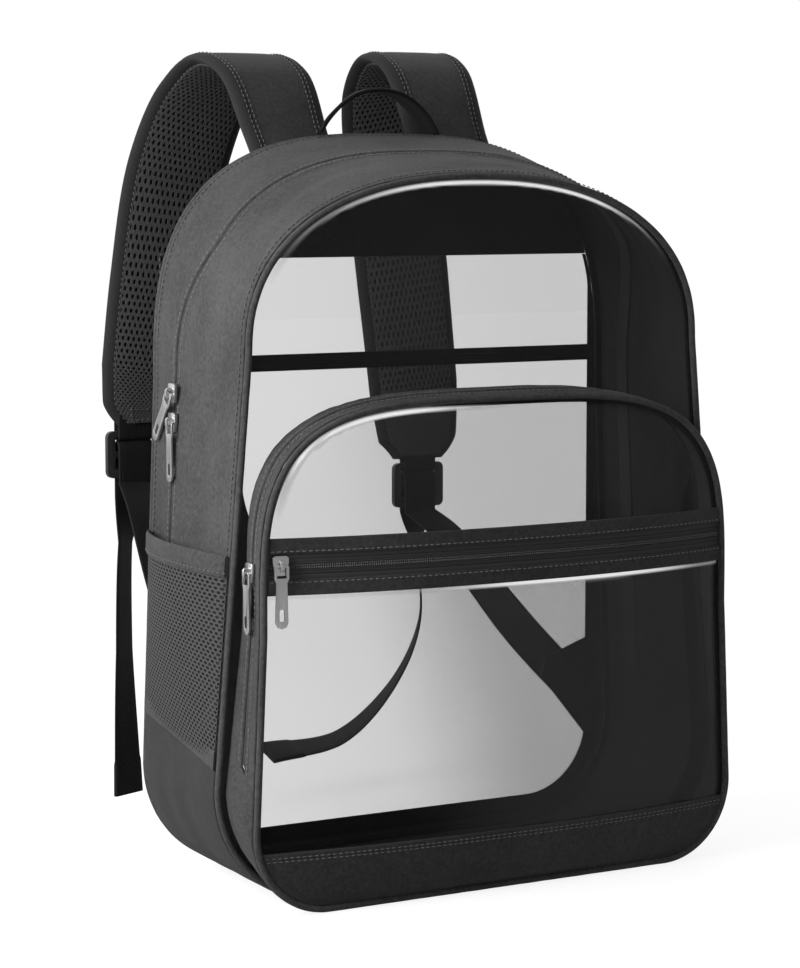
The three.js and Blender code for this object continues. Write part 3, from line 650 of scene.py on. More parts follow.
def zip_tape(name, colour):
    """Zip tape: a fine slanting twill across its width."""
    n = Nodes(name)
    along, across = n.cloth_uv()
    twill = ((along + across) * (2 * math.pi / 0.0012)).sin() * 0.5 + 0.5
    lint = n.noise(500, 2)
    base = n.mix(twill * 0.5 + lint * 0.4, scaled(colour, 0.8), scaled(colour, 1.2))
    return n.paint(
        Base_Color=base,
        Roughness=0.5 + lint * 0.2,
        Normal=n.bump(twill + lint * 0.5, 0.5, 0.0002),
        Specular_IOR_Level=0.3,
    )


def moulded_plastic(name, colour):
    """Moulded acetal: satin, with a faint grain and rubbed patches."""
    n = Nodes(name)
    grain = n.noise(1800, 2)
    rub = n.noise(60, 3)
    base = n.mix(rub * 0.6, scaled(colour, 0.9), scaled(colour, 1.4))
    return n.paint(Base_Color=base, Roughness=0.32 + rub * 0.16, Normal=n.bump(grain, 0.25, 0.0001))


def plated_metal(name, colour):
    """Nickel plated zinc: bright, with fine scuffs and slightly darker patches."""
    n = Nodes(name)
    cloud = n.noise(160, 3)
    scuff = n.noise(900, 4, 0.7)
    base = n.mix(cloud * 0.5 + scuff * 0.3, scaled(colour, 0.8), scaled(colour, 1.12))
    rough = 0.24 + scuff * 0.2
    return n.paint(Base_Color=base, Metallic=1.0, Roughness=rough, Normal=n.bump(scuff, 0.2, 0.0001))


def sewing_thread(name, colour):
    """Bonded thread with a twist."""
    n = Nodes(name)
    twist = n.noise(1500, 1)
    base = n.mix(twist, scaled(colour, 0.75), scaled(colour, 1.2))
    return n.paint(Base_Color=base, Roughness=0.55 + twist * 0.1, Sheen_Weight=0.2)


def clear_vinyl(name, tint):
    """Clear vinyl: see-through, greyer by its milkiness and by painted shade towards the right, with a
    painted highlight where it turns into a seam: a whitish colour and a glow.
    """
    n = Nodes(name)
    # This attribute is the vinyl's milkiness, raised towards the right of each panel as painted shade on
    # the side away from the lamp.
    haze = n.add("ShaderNodeAttribute", {"attribute_name": "haze"}, (), "Fac")
    # The turn attribute marks the painted highlight along the sheet's turned edge.
    turn = n.add("ShaderNodeAttribute", {"attribute_name": "turn"}, (), "Fac")
    cloud = n.noise(9, 2, 0.4)
    edge_gloss = n.add("ShaderNodeLayerWeight", None, {"Blend": 0.25}, "Facing")
    factor = (haze * (0.94 + cloud * 0.12) + edge_gloss**3 * 0.2 + turn * 0.9).minimum(0.95)
    # Painted highlight: the colour turns whitish along the turned edge, and the edge glows though it is no
    # lamp.
    base = n.mix(turn.minimum(1.0), tint, (0.95, 0.955, 0.96, 1))
    glow = n.mix(turn.minimum(1.0), (0, 0, 0, 1), (0.6, 0.6, 0.6, 1))
    wave = n.noise(16, 2, 0.4)
    gloss = n.surface(
        Base_Color=base,
        Roughness=0.06 + cloud * 0.05,
        IOR=1.5,
        Specular_IOR_Level=0.4,
        Normal=n.bump(wave, 0.25, 0.004),
        Emission_Color=glow,
        Emission_Strength=1.0,
    )
    clear = n.add("ShaderNodeBsdfTransparent", None, {"Color": (0.985, 0.985, 0.985, 1)})
    shader = n.add("ShaderNodeMixShader", None, [factor, clear, gloss])
    return n.finish(shader)


def pale_floor(name, colour):
    n = Nodes(name)
    patch = n.noise(3, 2)
    base = n.mix(patch, scaled(colour, 0.985), scaled(colour, 1.0))
    seen = n.add("ShaderNodeLightPath", output="Is Camera Ray")
    glow = n.mix(seen, grey(0.2), grey(0.845))
    return n.paint(Base_Color=base, Roughness=0.9, Emission_Color=glow, Emission_Strength=1.0)


# Each material's maker, the setting that holds its grey, the share of it that is used, and further options.
MATERIAL_TABLE = {
    "gusset_cloth": (woven_cloth, "cloth", 1, {"warmth": 0.01}),
    "dark_cloth": (woven_cloth, "cloth", 0.72, {}),
    # A darker copy of the cloth for the base wall: painted shade towards the floor.
    "base_cloth": (woven_cloth, "cloth", 0.45, {}),
    "lining": (woven_cloth, "lining", 1, {"sheen": 0.005}),
    # The piping's cloth is made lighter than the walls': a painted highlight on the rounded cord.
    "piping_cloth": (woven_cloth, "cloth", 1.15, {"pitch": 0.0005}),
    "strap_cloth": (woven_cloth, "cloth", 0.66, {}),
    "binding_tape": (webbing_cloth, "cloth", 0.5, {"rib": 0.0008}),
    "net": (knitted_net, "cloth", 1, {}),
    "spacer_mesh": (knitted_net, "cloth", 1.1, {}),
    "webbing": (webbing_cloth, "webbing", 1, {}),
    "zip_tape": (zip_tape, "cloth", 0.8, {}),
    "zip_coil": (moulded_plastic, "coil", 1, {}),
    "buckle_plastic": (moulded_plastic, "buckle", 1, {}),
    "plated_metal": (plated_metal, "metal", 1, {}),
    "thread": (sewing_thread, "thread", 1, {}),
    "dark_thread": (sewing_thread, "thread", 0.45, {}),
    "clear_vinyl": (clear_vinyl, "vinyl_shade", 1, {}),
    "floor": (pale_floor, "floor", 1, {}),
}
MATERIALS = {}


def material(name):
    """The scene's materials by name, made when they are first asked for."""
    if name not in MATERIALS:
        maker, setting, share, options = MATERIAL_TABLE[name]
        options = dict(options)
        value = getattr(bpy.context.scene.backpack_looks, setting) * share
        MATERIALS[name] = maker(name, grey(value, options.pop("warmth", 0)), **options)
    return MATERIALS[name]


# Geometry node trees


GEOMETRY = "NodeSocketGeometry"
COIL_PITCH, COIL_GRAIN = 0.0013, (0.0009, 0.0009, 0.0015)


def node_tree(name, inputs, kinds, settings, links):
    """A geometry node group, made once from its inputs, nodes by name, their settings and links."""
    tree = bpy.data.node_groups.get(name)
    if tree:
        return tree
    tree = bpy.data.node_groups.new(name, "GeometryNodeTree")
    tree.interface.new_socket(name="Geometry", in_out="INPUT", socket_type=GEOMETRY)
    tree.interface.new_socket(name="Geometry", in_out="OUTPUT", socket_type=GEOMETRY)
    for label, kind, default in inputs:
        socket = tree.interface.new_socket(name=label, in_out="INPUT", socket_type="NodeSocket" + kind)
        if default is not None:
            socket.default_value = default
    nodes = {key: tree.nodes.new(kind) for key, kind in kinds.items()}
    for key, setting, value in settings:
        if setting in nodes[key].inputs:
            nodes[key].inputs[setting].default_value = value
        else:
            setattr(nodes[key], setting, value)
    for source, output, target, entry in links:
        tree.links.new(nodes[source].outputs[output], nodes[target].inputs[entry])
    return tree


ENDS = {
    "given": "NodeGroupInput",
    "real": "GeometryNodeRealizeInstances",
    "paint": "GeometryNodeSetMaterial",
    "out": "NodeGroupOutput",
}


def row_tree():
    """Rounded grains set along every line of a mesh, at a spacing, lying along the line."""
    inputs = (
        ("Spacing", "Float", 0.003),
        ("Grain Size", "Vector", (0.002, 0.0006, 0.0006)),
        ("Outward", "Vector", (0, -1, 0)),
        ("Material", "Material", None),
    )
    kinds = {
        "curve": "GeometryNodeMeshToCurve",
        "spaced": "GeometryNodeResampleCurve",
        "ball": "GeometryNodeMeshUVSphere",
        "tangent": "GeometryNodeInputTangent",
        "lie": "FunctionNodeAlignRotationToVector",
        "face": "FunctionNodeAlignRotationToVector",
        "place": "GeometryNodeInstanceOnPoints",
        "smooth": "GeometryNodeSetShadeSmooth",
    }
    settings = (
        ("spaced", "mode", "LENGTH"),
        ("ball", "Segments", 6),
        ("ball", "Rings", 4),
        ("ball", "Radius", 0.5),
        ("lie", "axis", "X"),
        ("face", "axis", "Z"),
        ("face", "pivot_axis", "X"),
    )
    links = (
        ("given", "Geometry", "curve", "Mesh"),
        ("curve", "Curve", "spaced", "Curve"),
        ("given", "Spacing", "spaced", "Length"),
        ("spaced", "Curve", "place", "Points"),
        ("ball", "Mesh", "place", "Instance"),
        ("tangent", "Tangent", "lie", "Vector"),
        ("lie", "Rotation", "face", "Rotation"),
        ("given", "Outward", "face", "Vector"),
        ("face", "Rotation", "place", "Rotation"),
        ("given", "Grain Size", "place", "Scale"),
        ("place", "Instances", "real", "Geometry"),
        ("real", "Geometry", "smooth", "Geometry"),
        ("smooth", "Geometry", "paint", "Geometry"),
        ("given", "Material", "paint", "Material"),
        ("paint", "Geometry", "out", "Geometry"),
    )
    return node_tree("row of grains", inputs, {**ENDS, **kinds}, settings, links)


def hole_tree():
    """A hole in the middle of every face of a mesh of tiles, then the cloth's thickness."""
    inputs = (("Hole Share", "Float", 0.55), ("Thickness", "Float", 0.0006), ("Material", "Material", None))
    kinds = {
        "inner": "GeometryNodeExtrudeMesh",
        "shrink": "GeometryNodeScaleElements",
        "cut": "GeometryNodeDeleteGeometry",
        "thick": "GeometryNodeExtrudeMesh",
        "under": "GeometryNodeFlipFaces",
        "both": "GeometryNodeJoinGeometry",
        "merge": "GeometryNodeMergeByDistance",
    }
    settings = (
        ("inner", "mode", "FACES"),
        ("inner", "Individual", True),
        ("inner", "Offset Scale", 0.0),
        ("shrink", "domain", "FACE"),
        ("cut", "domain", "FACE"),
        ("thick", "mode", "FACES"),
        ("thick", "Individual", False),
        ("merge", "Distance", 1e-6),
    )
    links = (
        ("given", "Geometry", "inner", "Mesh"),
        ("inner", "Mesh", "shrink", "Geometry"),
        ("inner", "Top", "shrink", "Selection"),
        ("given", "Hole Share", "shrink", "Scale"),
        ("shrink", "Geometry", "cut", "Geometry"),
        ("inner", "Top", "cut", "Selection"),
        ("cut", "Geometry", "thick", "Mesh"),
        ("given", "Thickness", "thick", "Offset Scale"),
        ("cut", "Geometry", "under", "Mesh"),
        ("thick", "Mesh", "both", "Geometry"),
        ("under", "Mesh", "both", "Geometry"),
        ("both", "Geometry", "merge", "Geometry"),
        ("merge", "Geometry", "real", "Geometry"),
        ("real", "Geometry", "paint", "Geometry"),
        ("given", "Material", "paint", "Material"),
        ("paint", "Geometry", "out", "Geometry"),
    )
    return node_tree("holes in tiles", inputs, {**ENDS, **kinds}, settings, links)


def grow(piece, tree, values):
    """Runs a geometry node tree on a piece with inputs by name, and keeps the result as its plain mesh."""
    modifier = piece.modifiers.new(tree.name, "NODES")
    modifier.node_group = tree
    for item in tree.interface.items_tree:
        if item.item_type == "SOCKET" and item.in_out == "INPUT" and item.name in values:
            modifier[item.identifier] = values[item.name]
    return bake(piece)


def bake(piece):
    """Turns a piece and its modifiers into a plain mesh."""
    bpy.context.view_layer.update()
    seen = piece.evaluated_get(bpy.context.evaluated_depsgraph_get())
    mesh = bpy.data.meshes.new_from_object(seen)
    name = piece.name
    piece.modifiers.clear()
    old = piece.data
    piece.data = mesh
    bpy.data.meshes.remove(old)
    mesh.name = name
    if not mesh.polygons:
        raise RuntimeError(name + " came out empty")
    return piece


def lines_object(name, lines):
    """A mesh of open lines, each a list of points in millimetres."""
    points, edges = [], []
    for line in lines:
        start = len(points)
        points += [tuple(c * MM for c in p) for p in line]
        edges += [(start + i, start + i + 1) for i in range(len(line) - 1)]
    mesh = bpy.data.meshes.new(name)
    mesh.from_pydata(points, edges, [])
    return new_object(name, mesh, ())


def grains(name, lines, spacing, size, outside, look, slot):
    """Grains of one size set along lines, as one piece."""
    values = {"Spacing": spacing, "Grain Size": size, "Outward": outside, "Material": material(look)}
    seat(grow(lines_object(name, lines), row_tree(), values), slot)


def stitches(name, lines, slot="fabric", thread="thread"):
    """Rows of stitches along lines."""
    size = bpy.context.scene.backpack_stitches
    grain = (size.length, size.thickness, size.thickness)
    grains(name, lines, size.spacing, grain, (0.0, -1.0, 0.0), thread, slot)


def coil(name, lines, outside):
    """The coil of a zip: short grains across the tape along two lines."""
    grains(name, lines, COIL_PITCH, COIL_GRAIN, outside, "zip_coil", "zip")


def tiles(name, place, across_count, row_count):
    """Six-sided tiles over a surface. place(s, t) gives the point at shares s and t."""
    points, faces, seen = [], [], {}

    def vertex(s, t):
        key = (round(clamp(s), 6), round(clamp(t), 6))
        if key not in seen:
            seen[key] = len(points)
            points.append(tuple(c * MM for c in place(*key)))
        return seen[key]

    a, b = 1 / across_count, 1 / row_count
    for row in range(row_count + 1):
        for column in range(across_count + 1):
            s = (column + 0.5 * (row % 2)) * a
            t = row * b
            hexagon = [(0, 2 / 3), (-0.5, 1 / 3), (-0.5, -1 / 3), (0, -2 / 3), (0.5, -1 / 3), (0.5, 1 / 3)]
            corners = []
            for dx, dy in hexagon:
                index = vertex(s + dx * a, t + dy * b)
                if index not in corners:
                    corners.append(index)
            if len(corners) > 2 and s - 0.5 * a < 1 - 1e-6:
                faces.append(corners)
    mesh = bpy.data.meshes.new(name)
    mesh.from_pydata(points, [], faces)
    mesh.update()
    return new_object(name, mesh, ())


def net(piece, share, thickness, look):
    """Cuts a hole in each tile of a piece, and gives it thickness."""
    values = {"Hole Share": share, "Thickness": thickness, "Material": material(look)}
    return grow(piece, hole_tree(), values)


# Settings


def share_setting(name, description, default):
    return bpy.props.FloatProperty(name=name, description=description, default=default, min=0, max=1)


def length_setting(name, description, default):
    return bpy.props.FloatProperty(name=name, description=description, default=default, unit="LENGTH")


class BackpackLooks(bpy.types.PropertyGroup):
    """Colours, as greys from black to white."""

    cloth: share_setting("Cloth", "Grey of the polyester", 0.036)
    lining: share_setting("Lining", "Grey of inner faces", 0.019)
    webbing: share_setting("Webbing", "Grey of the webbing", 0.005)
    thread: share_setting("Thread", "Grey of the stitches", 0.1)
    metal: share_setting("Metal", "Grey of sliders and pulls", 0.62)
    coil: share_setting("Coil", "Grey of the zips' coils", 0.09)
    buckle: share_setting("Buckle", "Grey of the strap adjusters", 0.01)
    vinyl_shade: share_setting("Vinyl shade", "Grey that the vinyl dims towards", 0.05)
    # The vinyl's milkiness from left to right; the rise to the right is painted shade.
    haze_and_shade_left: share_setting("Haze left", "How much one face of vinyl dims at the left", 0.085)
    haze_and_shade_right: share_setting("Haze right", "How much one face of vinyl dims at the right", 0.125)
    floor: share_setting("Floor", "Grey of the floor", 0.2)


class BackpackStitches(bpy.types.PropertyGroup):
    """The size of the stitches."""

    spacing: length_setting("Spacing", "From one stitch to the next", 0.0036)
    length: length_setting("Length", "A stitch's length", 0.0027)
    thickness: length_setting("Thickness", "The thread's thickness", 0.0007)


class BackpackNet(bpy.types.PropertyGroup):
    """The knitted net of the side pockets and straps."""

    across: length_setting("Across", "From hole to hole across the net", 0.0042)
    upright: length_setting("Upright", "From row to row of holes", 0.0023)
    hole: share_setting("Hole", "Share of a tile that is hole", 0.6)
    fold_depth: length_setting("Fold depth", "Depth of soft folds in the cloth walls", 0.002)


class BackpackPads(bpy.types.PropertyGroup):
    """The padding of the shoulder straps."""

    pressure: bpy.props.FloatProperty(
        name="Pressure", description="How hard the foam fills the cover", default=4.0
    )
    swell: length_setting("Swell", "The most that the cover swells", 0.0022)


def fold(point, depth):
    """Soft folds in a cloth wall: long ones, short ones, and slanting ones above the side pocket."""
    x, y, z = point
    long_fold = ripple(x * 0.012, y * 0.05, z * 0.010, 1)
    short_fold = ripple(x * 0.03, y * 0.09, z * 0.025, 2) * 0.45
    slant = ripple(0, (y * 0.75 + z * 0.66) * 0.05, (z * 0.75 - y * 0.66) * 0.011, 7)
    pulled = slant * smoothstep(z, 150, 210) * smoothstep(z, 360, 250)
    return (long_fold + short_fold + pulled * 0.9) * depth / MM


def pucker(s, steps_per_run, near_edge):
    """Small gathers beside a seam."""
    return ripple(s * steps_per_run, near_edge * 0.3, 0, 5) * 0.55 * math.exp(-near_edge / 4)


def wall_length(wall, low, high, v):
    points = [wall.flat_point(u, v) for u in spread(low, high, 80)]
    return sum(math.dist(a, b) for a, b in zip(points, points[1:]))


# Walls


ZIP_OPENING = 1.6
TAPE_HALF = 6
FRONT_WIDTH, REAR_WIDTH, BASE_WIDTH = 75, 33, 105
EDGE_STITCHES = 3.2


def flap_height(near):
    """How far the cloth swells where it is folded and sewn beside the zip's opening."""
    return 0.5 * math.exp(-(((near - 1.3) / 1.6) ** 2)) - 0.3 * math.exp(-(((near - 2.1) / 0.5) ** 2))


def main_edge(kind):
    """The two edges, as shares v at u, of a strip of the main wall."""
    opening, tape = ZIP_OPENING / MAIN_DEPTH, TAPE_HALF / MAIN_DEPTH
    edges = {
        "gusset_front": (lambda u: EDGE_V, lambda u: zip_centre(u) - opening),
        "gusset_rear": (lambda u: zip_centre(u) + opening, lambda u: 1 - EDGE_V),
        "main_zip": (lambda u: zip_centre(u) - tape, lambda u: zip_centre(u) + tape),
    }
    return edges[kind]


def main_course(kind):
    """The course u, v over the arch of a strip of the main wall, from the left seam to the right seam."""
    low, high = main_edge(kind)

    def course(s, share):
        limit = side_line(SEAM, lerp(low(SIDE_END), high(SIDE_END), share)) - 0.0006
        u = lerp(-1, 1, s) * limit
        return u, lerp(low(u), high(u), share)

    return course


class BACKPACK_OT_walls(bpy.types.Operator):
    """Make the cloth walls of the main compartment"""

    bl_idname = "backpack.walls"
    bl_label = "Main walls"

    def execute(self, context):
        depth = context.scene.backpack_net.fold_depth
        looks = [material("gusset_cloth"), material("lining")]
        for name, width, folded in (("gusset_front", FRONT_WIDTH, 1), ("gusset_rear", REAR_WIDTH, 0)):

            def height(s, share, point, width=width, folded=folded):
                edge = min(share, 1 - share) * width
                calm = smoothstep(edge, 0, 14)
                hem = flap_height(abs(folded - share) * width)
                return -0.1 + fold(point, depth) * calm + pucker(s, 170, edge) * 0.8 + hem

            course = main_course(name)
            piece = wall_strip(name + "_cloth", MAIN_WALL, course, 460, looks, height, width=width)
            lay_cloth(piece, wall_length(MAIN_WALL, -0.62, 0.62, 0.3), name)

        def base_course(s, share):
            v = lerp(EDGE_V, 1 - EDGE_V, share)
            start = side_line(SEAM, v)
            return lerp(start, 2 - start, s), v

        def base_height(s, share, point):
            edge = min(share, 1 - share) * BASE_WIDTH
            rest = smoothstep(point[2], 4, 30)
            return fold(point, depth * 0.8) * smoothstep(edge, 0, 16) * rest

        # The base wall takes the darker copy of the cloth, a painted shade near the floor.
        dark = [material("base_cloth"), looks[1]]
        name = "gusset_base_cloth"
        base = wall_strip(name, MAIN_WALL, base_course, 240, dark, base_height, width=BASE_WIDTH)
        lay_cloth(base, wall_length(MAIN_WALL, 0.64, 1.36, 0.5), "gusset_base")
        for side in (-1, 1):
            self.seam_tape(side, looks)
        lines = []
        for v in (EDGE_V + EDGE_STITCHES / MAIN_DEPTH, 1 - EDGE_V - EDGE_STITCHES / MAIN_DEPTH):
            limit = side_line(SEAM, v) - 0.01
            lines.append([MAIN_WALL.point(u, v, 0.25) for u in spread(-limit, limit, 320)])
        stitches("edge_stitches", lines, thread="dark_thread")
        return {"FINISHED"}

    def seam_tape(self, side, looks):
        """The narrow tape that covers the seam between the side wall and the base cloth."""

        def course(s, share):
            v = lerp(EDGE_V, 1 - EDGE_V, s)
            return side * (side_line(SEAM, v) + lerp(-0.008, 0.008, share)), v

        name = "seam_tape_" + ("left" if side < 0 else "right")
        piece = wall_strip(name, MAIN_WALL, course, 40, looks, lambda s, share, point: 1.3, 5, 1.2)
        seat(piece, "fabric")


class BACKPACK_OT_pocket_walls(bpy.types.Operator):
    """Make the cloth walls of the front pocket"""

    bl_idname = "backpack.pocket_walls"
    bl_label = "Pocket walls"

    def execute(self, context):
        depth = context.scene.backpack_net.fold_depth
        looks = [material("gusset_cloth"), material("lining")]
        span = POCKET_WALL.second_y - POCKET_WALL.first_y
        half = ZIP_OPENING / span
        for name, low, high, folded in (
            ("pocket_gusset_front", 0, POCKET_ZIP_CENTRE - half, 1),
            ("pocket_gusset_rear", POCKET_ZIP_CENTRE + half, 1, 0),
        ):
            width = (high - low) * span

            def course(s, share, low=low, high=high):
                return lerp(-POCKET_ARCH_END, POCKET_ARCH_END, s), lerp(low, high, share)

            def height(s, share, point, width=width, folded=folded):
                edge = min(share, 1 - share) * width
                soft = ripple(point[0] * 0.03, point[1] * 0.1, point[2] * 0.025, 9) * 0.5
                hem = flap_height(abs(folded - share) * width)
                return pucker(s, 130, edge) * 0.7 + soft * smoothstep(edge, 0, 4) + hem

            piece = wall_strip(name + "_cloth", POCKET_WALL, course, 360, looks, height, width=width)
            lay_cloth(piece, wall_length(POCKET_WALL, -POCKET_ARCH_END, POCKET_ARCH_END, 0.5), name)

        def base_course(s, share):
            return lerp(POCKET_ARCH_END + 0.0012, 2 - POCKET_ARCH_END - 0.0012, s), share

        def base_height(s, share, point):
            edge = min(share, 1 - share) * span
            rest = smoothstep(point[2], 6, 40)
            crease = ripple(point[0] * 0.02, point[1] * 0.12, point[2] * 0.018, 3)
            return crease * depth / MM * 0.9 * smoothstep(edge, 0, 6) * rest

        base = wall_strip(
            "pocket_gusset_base_cloth", POCKET_WALL, base_course, 300, looks, base_height, width=span
        )
        length = wall_length(POCKET_WALL, POCKET_ARCH_END, 2 - POCKET_ARCH_END, 0.5)
        lay_cloth(base, length, "pocket_gusset_base")
        return {"FINISHED"}


def zip_tape_strip(name, wall, course, steps):
    """The woven tape behind the opening."""
    looks = [material("zip_tape"), material("zip_tape")]
    return wall_strip(name, wall, course, steps, looks, lambda s, share, point: -1.9, 2 * TAPE_HALF, 0.8)


def pocket_zip_course(s, share):
    span = POCKET_WALL.second_y - POCKET_WALL.first_y
    v = POCKET_ZIP_CENTRE + lerp(-TAPE_HALF, TAPE_HALF, share) / span
    return lerp(-POCKET_ARCH_END, POCKET_ARCH_END, s), v


class BACKPACK_OT_zips(bpy.types.Operator):
    """Make the zips round the main compartment and round the front pocket"""

    bl_idname = "backpack.zips"
    bl_label = "Arched zips"

    def execute(self, context):
        main = zip_tape_strip("main_zip_tape", MAIN_WALL, main_course("main_zip"), 420)
        seat(main, "zip", "main_zip")
        pocket = zip_tape_strip("pocket_zip_tape", POCKET_WALL, pocket_zip_course, 340)
        seat(pocket, "zip", "pocket_zip")

        def along(wall, course, share, lift):
            stations = range(2, ALONG_STEPS - 1)
            return [wall.point(*course(i / ALONG_STEPS, share), lift) for i in stations]

        for name, wall, course in (
            ("main", MAIN_WALL, main_course("main_zip")),
            ("pocket", POCKET_WALL, pocket_zip_course),
        ):
            sewn, coiled = (ZIP_OPENING + 2.1) / 2, 0.75 / 2
            lines = [along(wall, course, 0.5 + k * sewn / TAPE_HALF, 0.3) for k in (-1, 1)]
            stitches(name + "_zip_stitches", lines)
            teeth = [along(wall, course, 0.5 + k * coiled / TAPE_HALF, -0.7) for k in (-1, 1)]
            coil(name + "_zip_coil", teeth, (0.0, 1.0, 0.0))
        return {"FINISHED"}


class BACKPACK_OT_piping(bpy.types.Operator):
    """Make the covered cords in the seams, and the dark bindings behind them, which also stand in as
    painted shade inside the seams
    """

    bl_idname = "backpack.piping"
    bl_label = "Piping"

    def execute(self, context):
        looks = [material("piping_cloth")]
        for name, outline, y in (
            ("back_piping", BACK, BACK_Y),
            ("front_piping", FRONT, FRONT_Y),
            ("pocket_piping", POCKET_FRONT, POCKET_Y),
        ):
            seat(cord(name + "_cord", outline, y, PIPING_RADIUS, looks), "fabric", name)
        # The front binding widens towards the bottom: part binding tape, part painted shade inside the
        # piping.
        wider = lambda z: lerp(18.0, 5.2, smoothstep(z, 200, 245))
        self.binding("front_binding", FRONT, FRONT_Y + 3.2, lambda x, z: 0.0, 2.2, wider)
        self.binding("back_binding", BACK, BACK_Y - 4, lambda x, z: 0.0, 1.9, lambda z: 6.0)
        face = lambda x, z: pocket_face(x, z) - POCKET_Y
        self.binding("pocket_binding", POCKET_FRONT, POCKET_Y + 3.0, face, 2.4, lambda z: 5.8)
        return {"FINISHED"}

    def binding(self, name, outline, y, face, near, far):
        """A flat dark tape inside a seam, behind the panel. At the front panel and the pocket it also
        stands in as painted shade inside the piping.
        """
        loops = []
        for i in range(360):
            u = -1 + 2 * i / 360
            loop, reach = [], far(outline.point(u)[1])
            middle = (lerp(near, reach, 0.5), -0.1)
            for distance, depth in ((near, 0.0), middle, (reach, 0.0), (reach, 0.9), (near, 0.9)):
                x, z = outline.inset(distance).point(u)
                loop.append((x, y + face(x, z) + depth, z))
            loops.append(loop + [(loop[4][0], loop[4][1] - 0.45, loop[4][2])])
        seat(loft(name, loops, [material("lining")], closed=True), "fabric")


# Clear panels


def roll_in(piece, outline, reach, depth):
    """Rolls a sheet back towards its sewn edge, and gives each point's distance from it."""
    points = vertex_points(piece)
    distance = edge_distance(outline, points[:, [0, 2]])
    points[:, 1] += depth * np.clip(1 - distance / reach, 0, 1) ** 2
    piece.data.vertices.foreach_set("co", (points * MM).astype(np.float32).ravel())
    piece.data.update()
    return points, distance


def set_attribute(piece, name, values):
    layer = piece.data.attributes.new(name, "FLOAT", "POINT")
    layer.data.foreach_set("value", np.asarray(values, np.float32))


def vertex_points(piece):
    points = np.zeros(len(piece.data.vertices) * 3, np.float32)
    piece.data.vertices.foreach_get("co", points)
    return points.reshape(-1, 3) / MM


class BACKPACK_OT_vinyl(bpy.types.Operator):
    """Make the clear vinyl panels"""

    bl_idname = "backpack.vinyl"
    bl_label = "Clear panels"

    def execute(self, context):
        both_ends = lambda share: (1 - math.cos(math.pi * share)) / 2
        sag = lambda x, z, seed: ripple(x * 0.009, 0, z * 0.007, seed) * 1.1
        # Rises from left to right: painted shade on the side away from the lamp.
        main_haze_and_shade = lambda x, z: smoothstep(x, -110, 60)
        back, front = BACK.inset(SEAM_INSET - 1), FRONT.inset(SEAM_INSET - 1.3)
        panels = (
            ("back_vinyl", back, BACK_Y - 0.3, "back_sheet", 11, self.no_painted_highlight),
            ("front_vinyl", front, FRONT_Y - 0.3, "front_sheet", 12, self.front_painted_highlight),
        )
        vinyl = [material("clear_vinyl")]
        look = context.scene.backpack_looks
        for name, outline, y, node, seed, light in panels:

            def face(x, z, y=y, seed=seed, outline=outline):
                side = outline.half_width(z) - abs(x)
                calm = smoothstep(min(side, outline.top - z, z - outline.base), 0, 40)
                return y + sag(x, z, seed) * calm

            low, high = outline.base, outline.top - 0.3
            piece = face_patch(name, outline, low, high, 110, 70, face, 0.5, vinyl, row_share=both_ends)
            self.dress(piece, outline, light, main_haze_and_shade, look.haze_and_shade_left, look.haze_and_shade_right)
            seat(piece, "clear", node)
        top = POCKET_PANEL.top + 0.8
        wide = POCKET_FRONT.inset(SEAM_INSET - 1.3)
        one_end = lambda s: math.sin(math.pi / 2 * s)
        for part, low, high, share, seed, light, most in (
            ("upper", BAND_HIGH - 2, top, one_end, 13, self.pocket_painted_highlight, 0.11),
            ("lower", BASE_BAND_TOP - 2, BAND_LOW + 2, None, 14, self.band_painted_highlight, 0.28),
        ):

            def face(x, z, seed=seed, low=low, high=high):
                side = wide.half_width(z) - abs(x)
                calm = smoothstep(min(side, high - z, z - low), 0, 30)
                return pocket_face(x, z) + 0.4 + sag(x, z, seed) * 0.8 * calm

            name = "pocket_vinyl_" + part
            piece = face_patch(name, wide, low, high, 90, 80, face, 0.5, vinyl, row_share=share)
            # Rises towards the right: painted shade over the pocket sheets' milkiness.
            haze = lambda x, z: smoothstep(x + 0.3 * (z - 120), -95, 5)
            self.dress(piece, wide, light, haze, 0.03, most, 2.6)
            seat(piece, "clear", "pocket_sheet_" + part)
        return {"FINISHED"}

    @staticmethod
    def dress(piece, outline, light, sweep, least, most, depth=3.0):
        points, distance = roll_in(piece, outline, 7, depth)
        # The turn attribute holds each point's painted highlight along the turned edge.
        turn = [light(x, z, d) for (x, _, z), d in zip(points, distance)]
        # This attribute holds the vinyl's milkiness with painted shade towards the right.
        haze = [lerp(least, most, sweep(x, z)) for x, _, z in points]
        set_attribute(piece, "turn", turn)
        set_attribute(piece, "haze", haze)

    @staticmethod
    def no_painted_highlight(x, z, distance):
        # The back panel has no painted highlight.
        return 0.0

    @staticmethod
    def front_painted_highlight(x, z, distance):
        """Painted highlight where light would catch the front panel's turned edge over its arch."""
        band = clamp(1 - abs(distance - 1.9) / 1.7) ** 0.7
        left = smoothstep(x, -120, -20) * 0.6 + 0.4
        return band * smoothstep(z, 320, 400) * left * smoothstep(x, 150, 70)

    @staticmethod
    def pocket_painted_highlight(x, z, distance):
        # Painted highlight along the pocket panel's turned edge, towards its upper left.
        band = clamp(1 - abs(distance - 2.4) / 1.8) ** 0.7
        return band * smoothstep(z, 218, 262) * smoothstep(x, 10, -70)

    @staticmethod
    def band_painted_highlight(x, z, distance):
        """Painted highlight where light would catch the fold of the lower sheet below the zip band."""
        below = BAND_LOW - z
        reach = lerp(0.8, 2.2, smoothstep(x, -110, 30) * smoothstep(x, 140, 60))
        return clamp(1.2 - abs(below - 0.6) / reach) * lerp(0.35, 1, smoothstep(x, -90, 10))


# Pocket front


BAND_COLUMNS = 110


